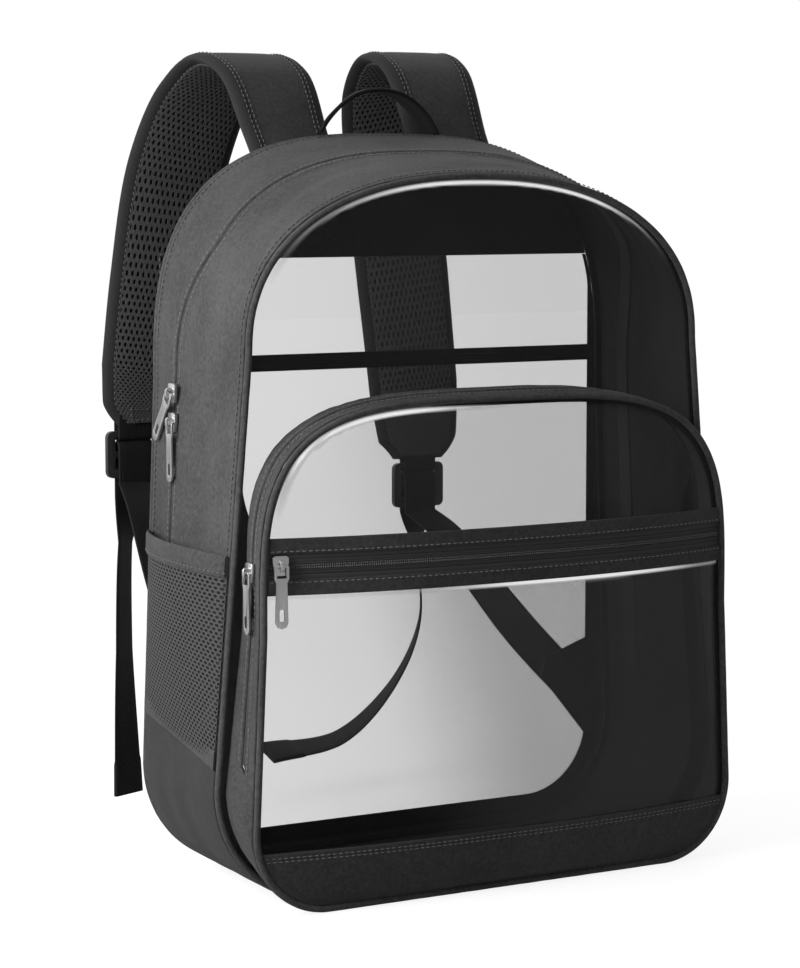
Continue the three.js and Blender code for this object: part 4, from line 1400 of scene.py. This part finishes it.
class BACKPACK_OT_pocket_front(bpy.types.Operator):
    """Make the zip band across the pocket and the cloth band along its foot"""

    bl_idname = "backpack.pocket_front"
    bl_label = "Pocket bands"

    def execute(self, context):
        wide = POCKET_FRONT.inset(SEAM_INSET - 1)
        cloth = [material("dark_cloth"), material("lining")]
        self.band("band_trim_upper", wide, BAND_HIGH - BAND_TRIM, BAND_HIGH, 1.2, 1.5, cloth, 10)
        self.band("band_trim_lower", wide, BAND_LOW, BAND_LOW + BAND_TRIM, 1.2, 1.5, cloth, 10)
        tape = [material("zip_tape"), material("lining")]
        low, high = BAND_LOW + BAND_TRIM - 1.5, BAND_HIGH - BAND_TRIM + 1.5
        middle = (low + high) / 2

        def zip_face(x, z):
            away = abs(z - middle)
            groove = math.exp(-(((away - 4.2) / 0.35) ** 2)) + 0.8 * math.exp(-(((away - 2.6) / 0.3) ** 2))
            opening = -0.7 if away < ZIP_OPENING else 0.25 * math.exp(-(((away - 2) / 1.2) ** 2))
            return pocket_face(x, z) - 0.05 - opening + groove * 0.5

        rows = [z for d in (0, 0.8, 1.5, 1.7, 1.9, 2.2, 2.6, 3, 3.6, 3.9, 4.2, 4.5, 5, 6, (high - low) / 2)
                for z in ({middle - d, middle + d})]
        loops = []
        for z in sorted(rows):
            half = wide.half_width(z)
            front = [(x, zip_face(x, z), z) for x in spread(-half, half, BAND_COLUMNS)]
            loops.append(front + [(x, y + 1, z) for x, y, z in reversed(front)])
        seat(loft("band_zip_tape", loops, tape, inner_from=BAND_COLUMNS + 1), "zip", "band_zip")
        half = wide.half_width(middle) - 1
        xs = spread(-half, half, 120)
        lines = [[(x, zip_face(x, middle) - 0.25, middle + lift) for x in xs] for lift in (-0.75, 0.75)]
        coil("band_zip_coil", lines, (0.0, 0.0, 1.0))
        foot = POCKET_FRONT.base + 3.2
        self.band("pocket_base_band", wide, foot, BASE_BAND_TOP, 1.0, 1.6, cloth, 26)
        self.sew(wide)
        return {"FINISHED"}

    def band(self, node, outline, low, high, lift, thickness, looks, rows):
        """A strip of cloth across the pocket's bulging front."""
        loops = []
        for share in edge_shares(high - low, thickness, rows):
            z = lerp(low, high, share)
            drop = edge_drop(share, high - low, thickness)
            half = max(outline.half_width(z), 1)
            xs = spread(-half, half, BAND_COLUMNS)
            soft = [ripple(x * 0.05, 0, z * 0.2, 21) * 0.25 for x in xs]
            front = [(x, pocket_face(x, z) - lift + drop + w, z) for x, w in zip(xs, soft)]
            back = [(x, pocket_face(x, z) - lift + thickness - drop + w, z) for x, w in zip(xs, soft)]
            loops.append(front + back[::-1])
        piece = loft(node + "_cloth", loops, looks, inner_from=BAND_COLUMNS + 1)
        lay_cloth(piece, 2 * outline.half_width((low + high) / 2), node)

    def sew(self, wide):
        lines = []
        upper, lower = BAND_HIGH - BAND_TRIM + 1.6, BAND_LOW + BAND_TRIM - 1.6
        for z in (upper, lower, BASE_BAND_TOP - 3, BASE_BAND_TOP - 5):
            half = wide.half_width(z) - 2
            lift = 1.0 if z < 60 else 1.25
            lines.append([(x, pocket_face(x, z) - lift, z) for x in np.linspace(-half, half, 120)])
        stitches("pocket_band_stitches", lines)


# Back panel


class BACKPACK_OT_back(bpy.types.Operator):
    """Make the cloth yoke and strips of the back panel"""

    bl_idname = "backpack.back"
    bl_label = "Back panel"

    def execute(self, context):
        panel = BACK.inset(SEAM_INSET - 1.2)
        looks = [material("dark_cloth"), material("lining")]
        face = lambda x, z: STRIP_Y + ripple(x * 0.02, 0, z * 0.03, 31) * 0.2
        yoke = face_patch(
            "yoke_cloth", panel, YOKE_LOW, panel.top - 0.4, 44, 48, face, FABRIC, looks,
            row_share=lambda s: (1 - math.cos(math.pi * s)) / 2,
        )
        lay_cloth(yoke, 2 * panel.half_width(YOKE_LOW + 20), "back_yoke")
        half = WINDOW_HALF - 0.3
        y, z, up = STRIP_Y + FABRIC / 2, (CROSS_LOW + CROSS_HIGH) / 2, Vector((0, 0, 1))
        cross = [(Vector((x, y, z)), CROSS_HIGH - CROSS_LOW, up) for x in np.linspace(-half, half, 60)]
        seat(strip("cross_strip", cross, FABRIC, [material("webbing")]), "fabric", "back_cross_strip")
        low = WINDOW_LOW + WINDOW_CORNER
        for side, sign in (("left", -1), ("right", 1)):
            loops = []
            for z in spread(low, YOKE_LOW - 0.3, 60):
                edge = panel.half_width(z)
                near = min(WINDOW_HALF, edge - 2)
                loops.append(self.flat_strip(sign, near, edge, z))
            piece = loft("back_strip_cloth_" + side, loops, looks)
            lay_cloth(piece, YOKE_LOW - low, "back_strip_" + side)
        self.bottom(panel, low, looks)
        self.sew(low)
        return {"FINISHED"}

    @staticmethod
    def flat_strip(sign, near, edge, z):
        y, far = STRIP_Y, STRIP_FACE
        outer = [(edge, y), (edge, far)]
        inner = [(near + 0.7, far), (near + 0.1, far - 0.5), (near, y + 0.8)]
        return [(sign * x, depth, z) for x, depth in [(near, y + 0.2)] + outer + inner]

    @staticmethod
    def window_edge(share, grow_by=0.0):
        """The lower edge of the back window from its left side round to its right side."""
        half, low, corner = WINDOW_HALF + grow_by, WINDOW_LOW - grow_by, WINDOW_CORNER + grow_by
        arc = math.pi / 2 * corner
        flat = 2 * (half - corner)
        place = share * (2 * arc + flat)
        if place < arc:
            angle = place / corner
            return -half + corner * (1 - math.cos(angle)), low + corner * (1 - math.sin(angle))
        if place < arc + flat:
            return -half + corner + place - arc, low
        angle = (place - arc - flat) / corner
        return half - corner * (1 - math.sin(angle)), low + corner * (1 - math.cos(angle))

    def bottom(self, panel, low, looks):
        loops = []
        for i in range(121):
            share = i / 120
            x0, z0 = self.window_edge(share)
            x1, z1 = panel.point(lerp(-panel.side_share(low), -2 + panel.side_share(low), share))
            y, far = STRIP_Y, STRIP_FACE
            profile = ((0, y + 0.2), (1, y), (1, far), (0.03, far), (0.01, far - 0.5), (0, y + 0.8))
            loops.append([(lerp(x0, x1, part), depth, lerp(z0, z1, part)) for part, depth in profile])
        piece = loft("bottom_strip_cloth", loops, looks)
        lay_cloth(piece, math.pi * WINDOW_CORNER + 2 * (WINDOW_HALF - WINDOW_CORNER), "back_bottom_strip")

    def sew(self, low):
        y = STRIP_FACE + 0.05
        lines = [[(x, y, YOKE_LOW + 3) for x in np.linspace(-WINDOW_HALF - 2, WINDOW_HALF + 2, 60)]]
        for z in (CROSS_LOW + 2, CROSS_HIGH - 2):
            lines.append([(x, y, z) for x in np.linspace(-WINDOW_HALF, WINDOW_HALF, 60)])
        window = [self.window_edge(i / 100, 3) for i in range(101)]
        for sign in (-1, 1):
            lines.append([(sign * (WINDOW_HALF + 3), y, z) for z in np.linspace(low, YOKE_LOW, 40)])
        lines.append([(x, y, z) for x, z in window])
        stitches("back_stitches", lines, thread="dark_thread")


# Side pockets


NET_WIDE, NET_HIGH = 105, 107


def pocket_bulge(height, share):
    """How far a side pocket stands out from its wall."""
    return 0.3 + MESH_BULGE * height**0.7 * math.sin(math.pi * share) ** 0.7


def side_point(sign, low, high, from_height, to_height, s, share, lift):
    v = lerp(EDGE_V, 1 - EDGE_V, share)
    u = sign * lerp(side_line(low, v), side_line(high, v), s)
    return MAIN_WALL.point(u, v, pocket_bulge(lerp(from_height, to_height, s), share) + lift)


class BACKPACK_OT_side_pockets(bpy.types.Operator):
    """Make the net side pockets with their bindings"""

    bl_idname = "backpack.side_pockets"
    bl_label = "Side pockets"

    def execute(self, context):
        sizes = context.scene.backpack_net
        flat = (NET_WIDE * MM, NET_HIGH * MM)
        low = (SEAM[0] - 3, SEAM[1] - 3)
        top = (BINDING_LOW[0] + 2, BINDING_LOW[1] + 2)
        for side, sign in (("left", -1), ("right", 1)):

            def place(s, t, sign=sign):
                return side_point(sign, low, top, 0.02, 0.93, t, s, 0.4)

            columns, rows = round(flat[0] / sizes.across), round(flat[1] / sizes.upright)
            piece = tiles("side_net_" + side, place, columns, rows)
            if sign > 0:
                piece.data.flip_normals()
            net(piece, sizes.hole, 0.0006, "net")
            seat(piece, "mesh", "side_mesh_" + side)
            self.binding(side, sign)
        return {"FINISHED"}

    def binding(self, side, sign):
        loops, shares = [], [0.002 + 0.996 * i / 70 for i in range(71)]
        outside = [(-0.05, 0.0), (-0.05, 1.6), (0.1, 2.2), (0.9, 2.2)]
        profile = outside + [(1.05, 1.5), (1.05, 0.3), (0.9, -0.5), (0.1, -0.5)]
        heights = (BINDING_LOW, BINDING_TOP, 0.92, 1)
        for share in shares:
            loops.append([side_point(sign, *heights, s, share, lift - 0.2) for s, lift in profile])
        name = "side_pocket_binding_" + side
        seat(loft(name, loops, [material("gusset_cloth")], sharp=50), "fabric", "side_binding_" + side)
        line = [side_point(sign, *heights, 0.16, share, 2.02) for share in shares]
        stitches("side_pocket_stitches_" + side, [line], thread="dark_thread")


# Zip sliders, pulls and buckles


def bevelled_copy(name, node, width, looks, segments=2):
    """A copy of a hard CAD node with its edges rounded."""
    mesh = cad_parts[node].data.copy()
    mesh.materials.clear()
    shape = bmesh.new()
    shape.from_mesh(mesh)
    bmesh.ops.remove_doubles(shape, verts=shape.verts, dist=2e-6)
    bmesh.ops.dissolve_limit(shape, angle_limit=math.radians(2), verts=shape.verts, edges=shape.edges)
    shape.to_mesh(mesh)
    shape.free()
    piece = new_object(name, mesh, looks)
    bevel = piece.modifiers.new("edge", "BEVEL")
    bevel.width, bevel.segments, bevel.limit_method = width, segments, "ANGLE"
    bevel.angle_limit = math.radians(32)
    bevel.harden_normals = False
    bake(piece)
    shade_smooth(piece.data)
    piece.data.set_sharp_from_angle(angle=math.radians(35))
    return piece


class BACKPACK_OT_sliders(bpy.types.Operator):
    """Make the metal zip sliders and their pulls"""

    bl_idname = "backpack.sliders"
    bl_label = "Sliders and pulls"

    def execute(self, context):
        looks = [material("plated_metal")]
        for place in ("main_upper", "main_lower", "pocket", "band"):
            slider = bevelled_copy(place + "_slider_body", place + "_slider", 0.00035, looks)
            seat(slider, "metal", place + "_slider")
            pull = bevelled_copy(place + "_pull_tab", place + "_pull", 0.0003, looks)
            seat(pull, "metal", place + "_pull", body=place + "_pull")
        return {"FINISHED"}


class BACKPACK_OT_buckles(bpy.types.Operator):
    """Make the strap adjusters"""

    bl_idname = "backpack.buckles"
    bl_label = "Buckles"

    def execute(self, context):
        looks = [material("buckle_plastic")]
        for side in ("left", "right"):
            piece = bevelled_copy("adjuster_" + side, "buckle_" + side, 0.0011, looks, 3)
            seat(piece, "plastic", "buckle_" + side)
        return {"FINISHED"}


# Shoulder straps

STRAP_ROOT_Y = STRIP_FACE + 0.3 + STRAP_HALF_THICK + 0.3
SIDES = {
    "left": {
        "sign": -1, "end": 255, "top": 486, "reach": 98, "hook": (107, 236),
        "tail": [(113, 196, 180), (115, 195, 110), (113, 195, 16)],
        "tail_wide": [(0.7, 0.7, 0), (0.75, 0.65, 0), (0.9, 0.3, 0)],
    },
    "right": {
        "sign": 1, "end": 224, "top": 489, "reach": 104, "hook": (104, 205),
        "tail": [(104, 196, 160), (106, 195, 114), (88, 196, 74), (47, 198, 38), (-12, 196, 32)],
        "tail_wide": [(0.5, 0.86, 0), (0.5, 0.86, 0), (0.4, 0.9, 0), (0.2, 0.95, 0.1), (0, 0.93, 0.35)],
    },
}


STRAP_STEPS = 150
PAD_INSET = 0.8
SWELL_STEPS = 20
PAD_SHARES = (-1, -0.93, -0.84, -0.7, -0.5, -0.25, 0, 0.25, 0.5, 0.7, 0.84, 0.93, 1)


def strap_frames(side):
    """The frames along one shoulder strap, from its root under the yoke over the shoulder to its end."""
    end, top, reach, sign = side["end"], side["top"], side["reach"], side["sign"]
    root = STRAP_ROOT_Y - 0.3
    table = [
        (57, root + 0.4, 392, 54),
        (57, root + 0.6, 402, 54),
        (57, root + 2, 412, 55),
        (57, root + 6.5, 424, 56),
        (57, 80, 441, 58),
        (58, 105, top - 10, 62),
        (61, 138, top, 66),
        (67, 168, top - 20, 68),
        (79, 186, 418, 70),
        (lerp(79, reach, 0.5), 193, 345, 70),
        (lerp(79, reach, 0.85), 194, lerp(end, 345, 0.4), 68),
        (reach, 195, end + 13, 60),
        (reach, 195, end, 38),
    ]
    rows = [((sign * x, y, z), width, (1, 0, 0)) for x, y, z, width in table]
    return station_frames(smooth_path(rows, STRAP_STEPS))


def pad_height(a, half):
    """Half the pad's thickness at a distance a from its middle line."""
    return 0.5 + (STRAP_HALF_THICK - 1.1) * max(1 - (abs(a) / half) ** 4, 0) ** 0.55


def strap_station(frames, place):
    """A strap's point, its pad's half width, and its directions across and through, at a place along it."""
    index = clamp(place) * (len(frames) - 1)
    low = min(int(index), len(frames) - 2)
    part = index - low
    first, second = frames[low], frames[low + 1]
    at, across, through = (first[k].lerp(second[k], part) for k in (0, 2, 3))
    return at, lerp(first[1], second[1], part) / 2 - PAD_INSET, across, through


class BACKPACK_OT_straps(bpy.types.Operator):
    """Make the padded shoulder straps with their bound edges"""

    bl_idname = "backpack.straps"
    bl_label = "Shoulder straps"

    def execute(self, context):
        for name, side in SIDES.items():
            frames = strap_frames(side)
            pad = self.pad(name, frames)
            self.swell(pad, context)
            smooth = pad.modifiers.new("smooth", "SUBSURF")
            smooth.levels = smooth.render_levels = 1
            bake(pad)
            shade_smooth(pad.data)
            seat(pad, "padding", "strap_" + name)
            self.binding(name, frames)
            self.inner_mesh(name, frames, context)
            self.sew(name, frames)
        return {"FINISHED"}

    def pad(self, name, frames):
        loops = []
        for at, width, across, through in frames:
            half = width / 2 - PAD_INSET
            over = [(s * half, pad_height(s * half, half)) for s in PAD_SHARES]
            loop = over + [(a, -h) for a, h in reversed(over)]
            loops.append([at + across * a + through * h for a, h in loop])
        return loft("strap_pad_" + name, loops, [material("strap_cloth")], sharp=80)

    def swell(self, pad, context):
        """Fills the pad with air for a moment, holding its sewn edges, and caps how far it moves."""
        pads, scene = context.scene.backpack_pads, context.scene
        rest = vertex_points(pad) * MM
        held = pad.vertex_groups.new(name="held")
        row, place = np.divmod(np.arange(len(rest)), 2 * len(PAD_SHARES))
        column = place % len(PAD_SHARES)
        edge = (np.minimum(column, len(PAD_SHARES) - 1 - column) < 3) | (row < 4) | (row > STRAP_STEPS - 4)
        held.add([int(i) for i in np.nonzero(edge)[0]], 1.0, "REPLACE")
        cloth = pad.modifiers.new("cloth", "CLOTH")
        cloth.settings.quality = 6
        cloth.settings.mass = 0.2
        cloth.settings.vertex_group_mass = "held"
        cloth.settings.use_pressure = True
        cloth.settings.uniform_pressure_force = pads.pressure
        cloth.settings.effector_weights.gravity = 0
        cloth.settings.tension_stiffness = cloth.settings.compression_stiffness = 20
        cloth.settings.bending_stiffness = 0.4
        cloth.collision_settings.use_collision = False
        cloth.point_cache.frame_start, cloth.point_cache.frame_end = 1, SWELL_STEPS
        for step in range(1, SWELL_STEPS + 1):
            scene.frame_set(step)
        seen = pad.evaluated_get(context.evaluated_depsgraph_get())
        moved = np.zeros(len(rest) * 3, np.float32)
        seen.data.vertices.foreach_get("co", moved)
        moved = moved.reshape(-1, 3)
        pad.modifiers.remove(cloth)
        scene.frame_set(1)
        shift = moved - rest
        far = np.linalg.norm(shift, axis=1, keepdims=True)
        shift *= np.minimum(1, pads.swell / np.maximum(far, 1e-9))
        pad.data.vertices.foreach_set("co", (rest + shift).astype(np.float32).ravel())
        pad.data.update()

    def binding(self, name, frames):
        """The tape folded over both long edges and round the strap's end."""
        for edge, sign in (("outer", -1), ("inner", 1)):
            loops = []
            for at, width, across, through in frames:
                half = width / 2 - PAD_INSET
                reach = ((7.0, 0.2), (5.5, 0.55), (3.0, 0.55), (1.2, 0.55))
                top = [(half - r, pad_height(half - r, half) + lift) for r, lift in reach]
                tip = [(half + 0.6, 0.9), (half + 0.9, 0), (half + 0.6, -0.9)]
                outside = top + tip + [(a, -h) for a, h in reversed(top)]
                under = pad_height(half - 7, half) - 0.6
                inside = [(half - 7, -under), (half - 2, 0), (half - 7, under)]
                loops.append([at + across * (a * sign) + through * h for a, h in outside + inside])
            piece = loft(f"strap_binding_{edge}_{name}", loops, [material("binding_tape")], sharp=60)
            seat(piece, "padding")

    def inner_mesh(self, name, frames, context):
        """The open spacer mesh on the inner face."""
        sizes = context.scene.backpack_net
        length = sum((b[0] - a[0]).length for a, b in zip(frames, frames[1:]))

        def place(s, t):
            at, half, across, through = strap_station(frames, lerp(0.02, 0.985, t))
            a = lerp(-1, 1, s) * (half - 6.4)
            lift = pad_height(a, half) + 0.9 + 1.4 * (1 - (a / half) ** 2)
            return at + across * a + through * lift

        rows = round(length * 0.965 * MM / (sizes.upright * 1.1))
        columns = round(52 * MM / (sizes.across * 0.8))
        piece = tiles("strap_mesh_" + name, place, columns, rows)
        seat(net(piece, sizes.hole * 0.92, 0.0008, "spacer_mesh"), "padding")

    def sew(self, name, frames):
        lines = []
        for sign in (-1, 1):
            for face in (-1, 1):
                for inward in (6.0, 8.6) if face < 0 else (6.0,):
                    line = []
                    for at, width, across, through in frames[3:-3]:
                        half = width / 2 - PAD_INSET
                        a = half - inward
                        lift = pad_height(a, half) + (0.62 if inward < 7 else 0.35)
                        line.append(at + across * (a * sign) + through * (lift * face))
                    lines.append(line)
        box = []
        for s, a in ((0.93, -1), (0.93, 1), (0.972, 1), (0.972, -1), (0.93, -1)):
            at, half, across, through = strap_station(frames, s)
            a *= min(half - 9, 13)
            box.append(at + across * a + through * (pad_height(a, half) + 2.7))
        lines.append(box)
        stitches("strap_stitches_" + name, lines, slot="padding", thread="dark_thread")


# Webbing


class BACKPACK_OT_webbing(bpy.types.Operator):
    """Make the webbing, its tabs and the haul loop"""

    bl_idname = "backpack.webbing"
    bl_label = "Webbing"

    def execute(self, context):
        looks = [material("webbing")]
        radius = 4 / 2 + 0.3 + WEBBING / 2 + 0.1
        flat = Vector((1, 0, 0))
        for name, side in SIDES.items():
            sign, (hook_x, hook_z) = side["sign"], side["hook"]
            hook = Vector((sign * hook_x, 195, hook_z))
            turn = self.turn(hook + Vector((0, 0, 13.5)), radius, 2 * math.pi, math.pi)
            top = side["end"] + 9
            ends = [Vector((hook.x, hook.y + k * radius, top)) for k in (1, -1)]
            stations = [(ends[0], WEBBING_WIDTH, flat)] + turn + [(ends[1], WEBBING_WIDTH, flat)]
            seat(strip("adjuster_tab_" + name, stations, WEBBING, looks), "webbing", "buckle_tab_" + name)
            piece = strip("webbing_strand_" + name, self.route(side, hook, radius), self.thickness, looks)
            seat(piece, "webbing", "webbing_" + name)
            node = "corner_tab_" + name
            tab = bevelled_copy("corner_tab_cloth_" + name, node, 0.0005, [material("dark_cloth")])
            seat(tab, "fabric", node)
        self.haul(looks)
        return {"FINISHED"}

    @staticmethod
    def thickness(share):
        """The strand's end is folded over and sewn."""
        return WEBBING * (2.2 if share > 0.955 else 1)

    @staticmethod
    def turn(centre, radius, start, end, tall=1.0):
        """Round a bar, closely or with a loose end as tall times the radius."""
        stations = []
        for angle in spread(start, end, TURN_STEPS):
            at = centre + Vector((0, radius * math.cos(angle), radius * tall * math.sin(angle)))
            stations.append((at, WEBBING_WIDTH, Vector((1, 0, 0))))
        return stations

    def route(self, side, hook, radius):
        sign = side["sign"]
        rise = [
            ((sign * 138, STRIP_FACE + 3, 88), WEBBING_WIDTH, (0.55, 0, sign * 0.8)),
            ((sign * 129, STRIP_FACE + 5, 98), WEBBING_WIDTH, (0.6, 0, sign * 0.75)),
            ((sign * 119, 84, 118), WEBBING_WIDTH, (0.7, 0, sign * 0.6)),
            ((sign * 116, 122, 142), WEBBING_WIDTH, (0.9, 0, sign * 0.35)),
            ((sign * 112, 170, hook.z - 30), WEBBING_WIDTH, (1, 0, sign * 0.1)),
            ((hook.x, hook.y - radius, hook.z - 17), WEBBING_WIDTH, (1, 0, 0)),
        ]
        turn = self.turn(hook + Vector((0, 0, 2)), radius, math.pi, 0, 2.35)
        tail = [((hook.x, hook.y + radius, hook.z - 17), WEBBING_WIDTH, (1, 0, 0))]
        for (x, y, z), wide in zip(side["tail"], side["tail_wide"]):
            tail.append(((sign * x, y, z), WEBBING_WIDTH, wide))
        return smooth_path(rise, 60) + turn + smooth_path(tail, 110)

    def haul(self, looks):
        table = [
            (-1, 0, (0.5, 0.86, 0)),
            (-0.82, 0.37, (0.5, 0.86, 0)),
            (-0.4, 0.86, (0.4, 0.9, 0)),
            (0, 1, (0.2, 1, 0)),
            (0.4, 0.9, (0, 1, 0)),
            (0.78, 0.5, (-0.1, 1, 0)),
            (1, 0, (-0.2, 1, 0)),
        ]
        rows = [((-5 + share * 39, 60, lerp(438.7, 466, rise)), 18, wide) for share, rise, wide in table]
        seat(strip("haul_loop_webbing", smooth_path(rows, 90), 2.4, looks), "webbing", "haul_loop")


# Stage


CAMERA_PLACE, AZIMUTH, ELEVATION = (-0.8726, -1.4728, 0.4127), -30, 6.1
LENS, SENSOR = 106.41, 36
LAMP_PLACE, LAMP_AIM, LAMP_SIZE, LAMP_POWER = (-0.98, -0.08, 0.62), (0, 0, 0.4), 0.6, 18
FLOOR_HALF = 6
# How the room brightens along an axis: from, to, the least and the most brightness.
ROOM = (("Y", -0.3, 0.5, 0.36, 1.0), ("Z", 0.25, 0.95, 0.0, 0.1))


class BACKPACK_OT_stage(bpy.types.Operator):
    """Make the pale floor, the soft lights and the camera"""

    bl_idname = "backpack.stage"
    bl_label = "Stage"

    def execute(self, context):
        scene = context.scene
        scene.view_settings.view_transform = "Standard"
        scene.world = self.room()
        mesh = bpy.data.meshes.new("floor")
        corners = [(x * FLOOR_HALF, y * FLOOR_HALF, 0) for x, y in ((-1, -1), (1, -1), (1, 1), (-1, 1))]
        mesh.from_pydata(corners, [], [(0, 1, 2, 3)])
        floor = new_object("floor", mesh, [material("floor")])
        self.light(scene)
        self.camera(scene)
        return {"FINISHED"}

    @staticmethod
    def room():
        """A white room that lights the backpack from behind and above, and little from the front."""
        n = Nodes("pale room", bpy.data.worlds.new("pale room"))
        across = dict(zip("XYZ", n.split(n.coordinates("Generated"))))
        parts = []
        for axis, *numbers in ROOM:
            sockets = dict(zip(("From Min", "From Max", "To Min", "To Max"), numbers), Value=across[axis])
            smooth = {"interpolation_type": "SMOOTHSTEP"}
            parts.append(n.add("ShaderNodeMapRange", smooth, sockets, "Result"))
        seen = n.add("ShaderNodeLightPath", output="Is Camera Ray")
        sockets = {"Color": (1, 1, 1, 1), "Strength": parts[0].maximum(parts[1]).maximum(seen)}
        return n.finish(n.add("ShaderNodeBackground", None, sockets), "World")

    @staticmethod
    def light(scene):
        """One soft lamp at the side that faces the camera."""
        lamp = bpy.data.lights.new("side", "AREA")
        lamp.shape, lamp.size, lamp.energy = "SQUARE", LAMP_SIZE, LAMP_POWER
        shade = bpy.data.objects.new("side", lamp)
        scene.collection.objects.link(shade)
        shade.location = LAMP_PLACE
        aim = Vector(LAMP_AIM) - Vector(LAMP_PLACE)
        shade.rotation_euler = aim.to_track_quat("-Z", "Y").to_euler()

    @staticmethod
    def camera(scene):
        """The photo's own view: 30 degrees to the left of the front and 6 degrees above."""
        lens = bpy.data.cameras.new("view")
        lens.sensor_fit = "AUTO"
        lens.sensor_width, lens.lens = SENSOR, LENS
        lens.clip_start, lens.clip_end = 0.05, 50
        eye = bpy.data.objects.new("view", lens)
        scene.collection.objects.link(eye)
        eye.location = CAMERA_PLACE
        azimuth, elevation = math.radians(AZIMUTH), math.radians(ELEVATION)
        level = math.cos(elevation)
        back = Vector((math.sin(azimuth) * level, -math.cos(azimuth) * level, math.sin(elevation)))
        eye.rotation_euler = (-back).to_track_quat("-Z", "Y").to_euler()
        scene.camera = eye


STEPS = (
    BACKPACK_OT_walls,
    BACKPACK_OT_pocket_walls,
    BACKPACK_OT_zips,
    BACKPACK_OT_piping,
    BACKPACK_OT_vinyl,
    BACKPACK_OT_pocket_front,
    BACKPACK_OT_back,
    BACKPACK_OT_side_pockets,
    BACKPACK_OT_sliders,
    BACKPACK_OT_buckles,
    BACKPACK_OT_straps,
    BACKPACK_OT_webbing,
    BACKPACK_OT_stage,
)
SETTINGS = {"looks": BackpackLooks, "stitches": BackpackStitches, "net": BackpackNet, "pads": BackpackPads}


class BACKPACK_PT_panel(bpy.types.Panel):
    """Lists the backpack's pieces and settings"""

    bl_idname = "BACKPACK_PT_panel"
    bl_label = "Clear Backpack"
    bl_space_type = "VIEW_3D"
    bl_region_type = "UI"
    bl_category = "Backpack"

    def draw(self, context):
        for settings in SETTINGS:
            group = getattr(context.scene, "backpack_" + settings)
            column = self.layout.column(heading=settings.title())
            for name in group.bl_rna.properties.keys():
                if name not in {"rna_type", "name"}:
                    column.prop(group, name)
        for step in STEPS:
            self.layout.operator(step.bl_idname)


def register():
    for name, settings in SETTINGS.items():
        bpy.utils.register_class(settings)
        setattr(bpy.types.Scene, "backpack_" + name, bpy.props.PointerProperty(type=settings))
    for step in STEPS:
        bpy.utils.register_class(step)
    bpy.utils.register_class(BACKPACK_PT_panel)


def unregister():
    bpy.utils.unregister_class(BACKPACK_PT_panel)
    for step in reversed(STEPS):
        bpy.utils.unregister_class(step)
    for name, settings in SETTINGS.items():
        delattr(bpy.types.Scene, "backpack_" + name)
        bpy.utils.unregister_class(settings)


def main():
    register()
    for step in STEPS:
        group, name = step.bl_idname.split(".")
        getattr(getattr(bpy.ops, group), name)()
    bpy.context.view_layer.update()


if __name__ == "__main__":
    main()
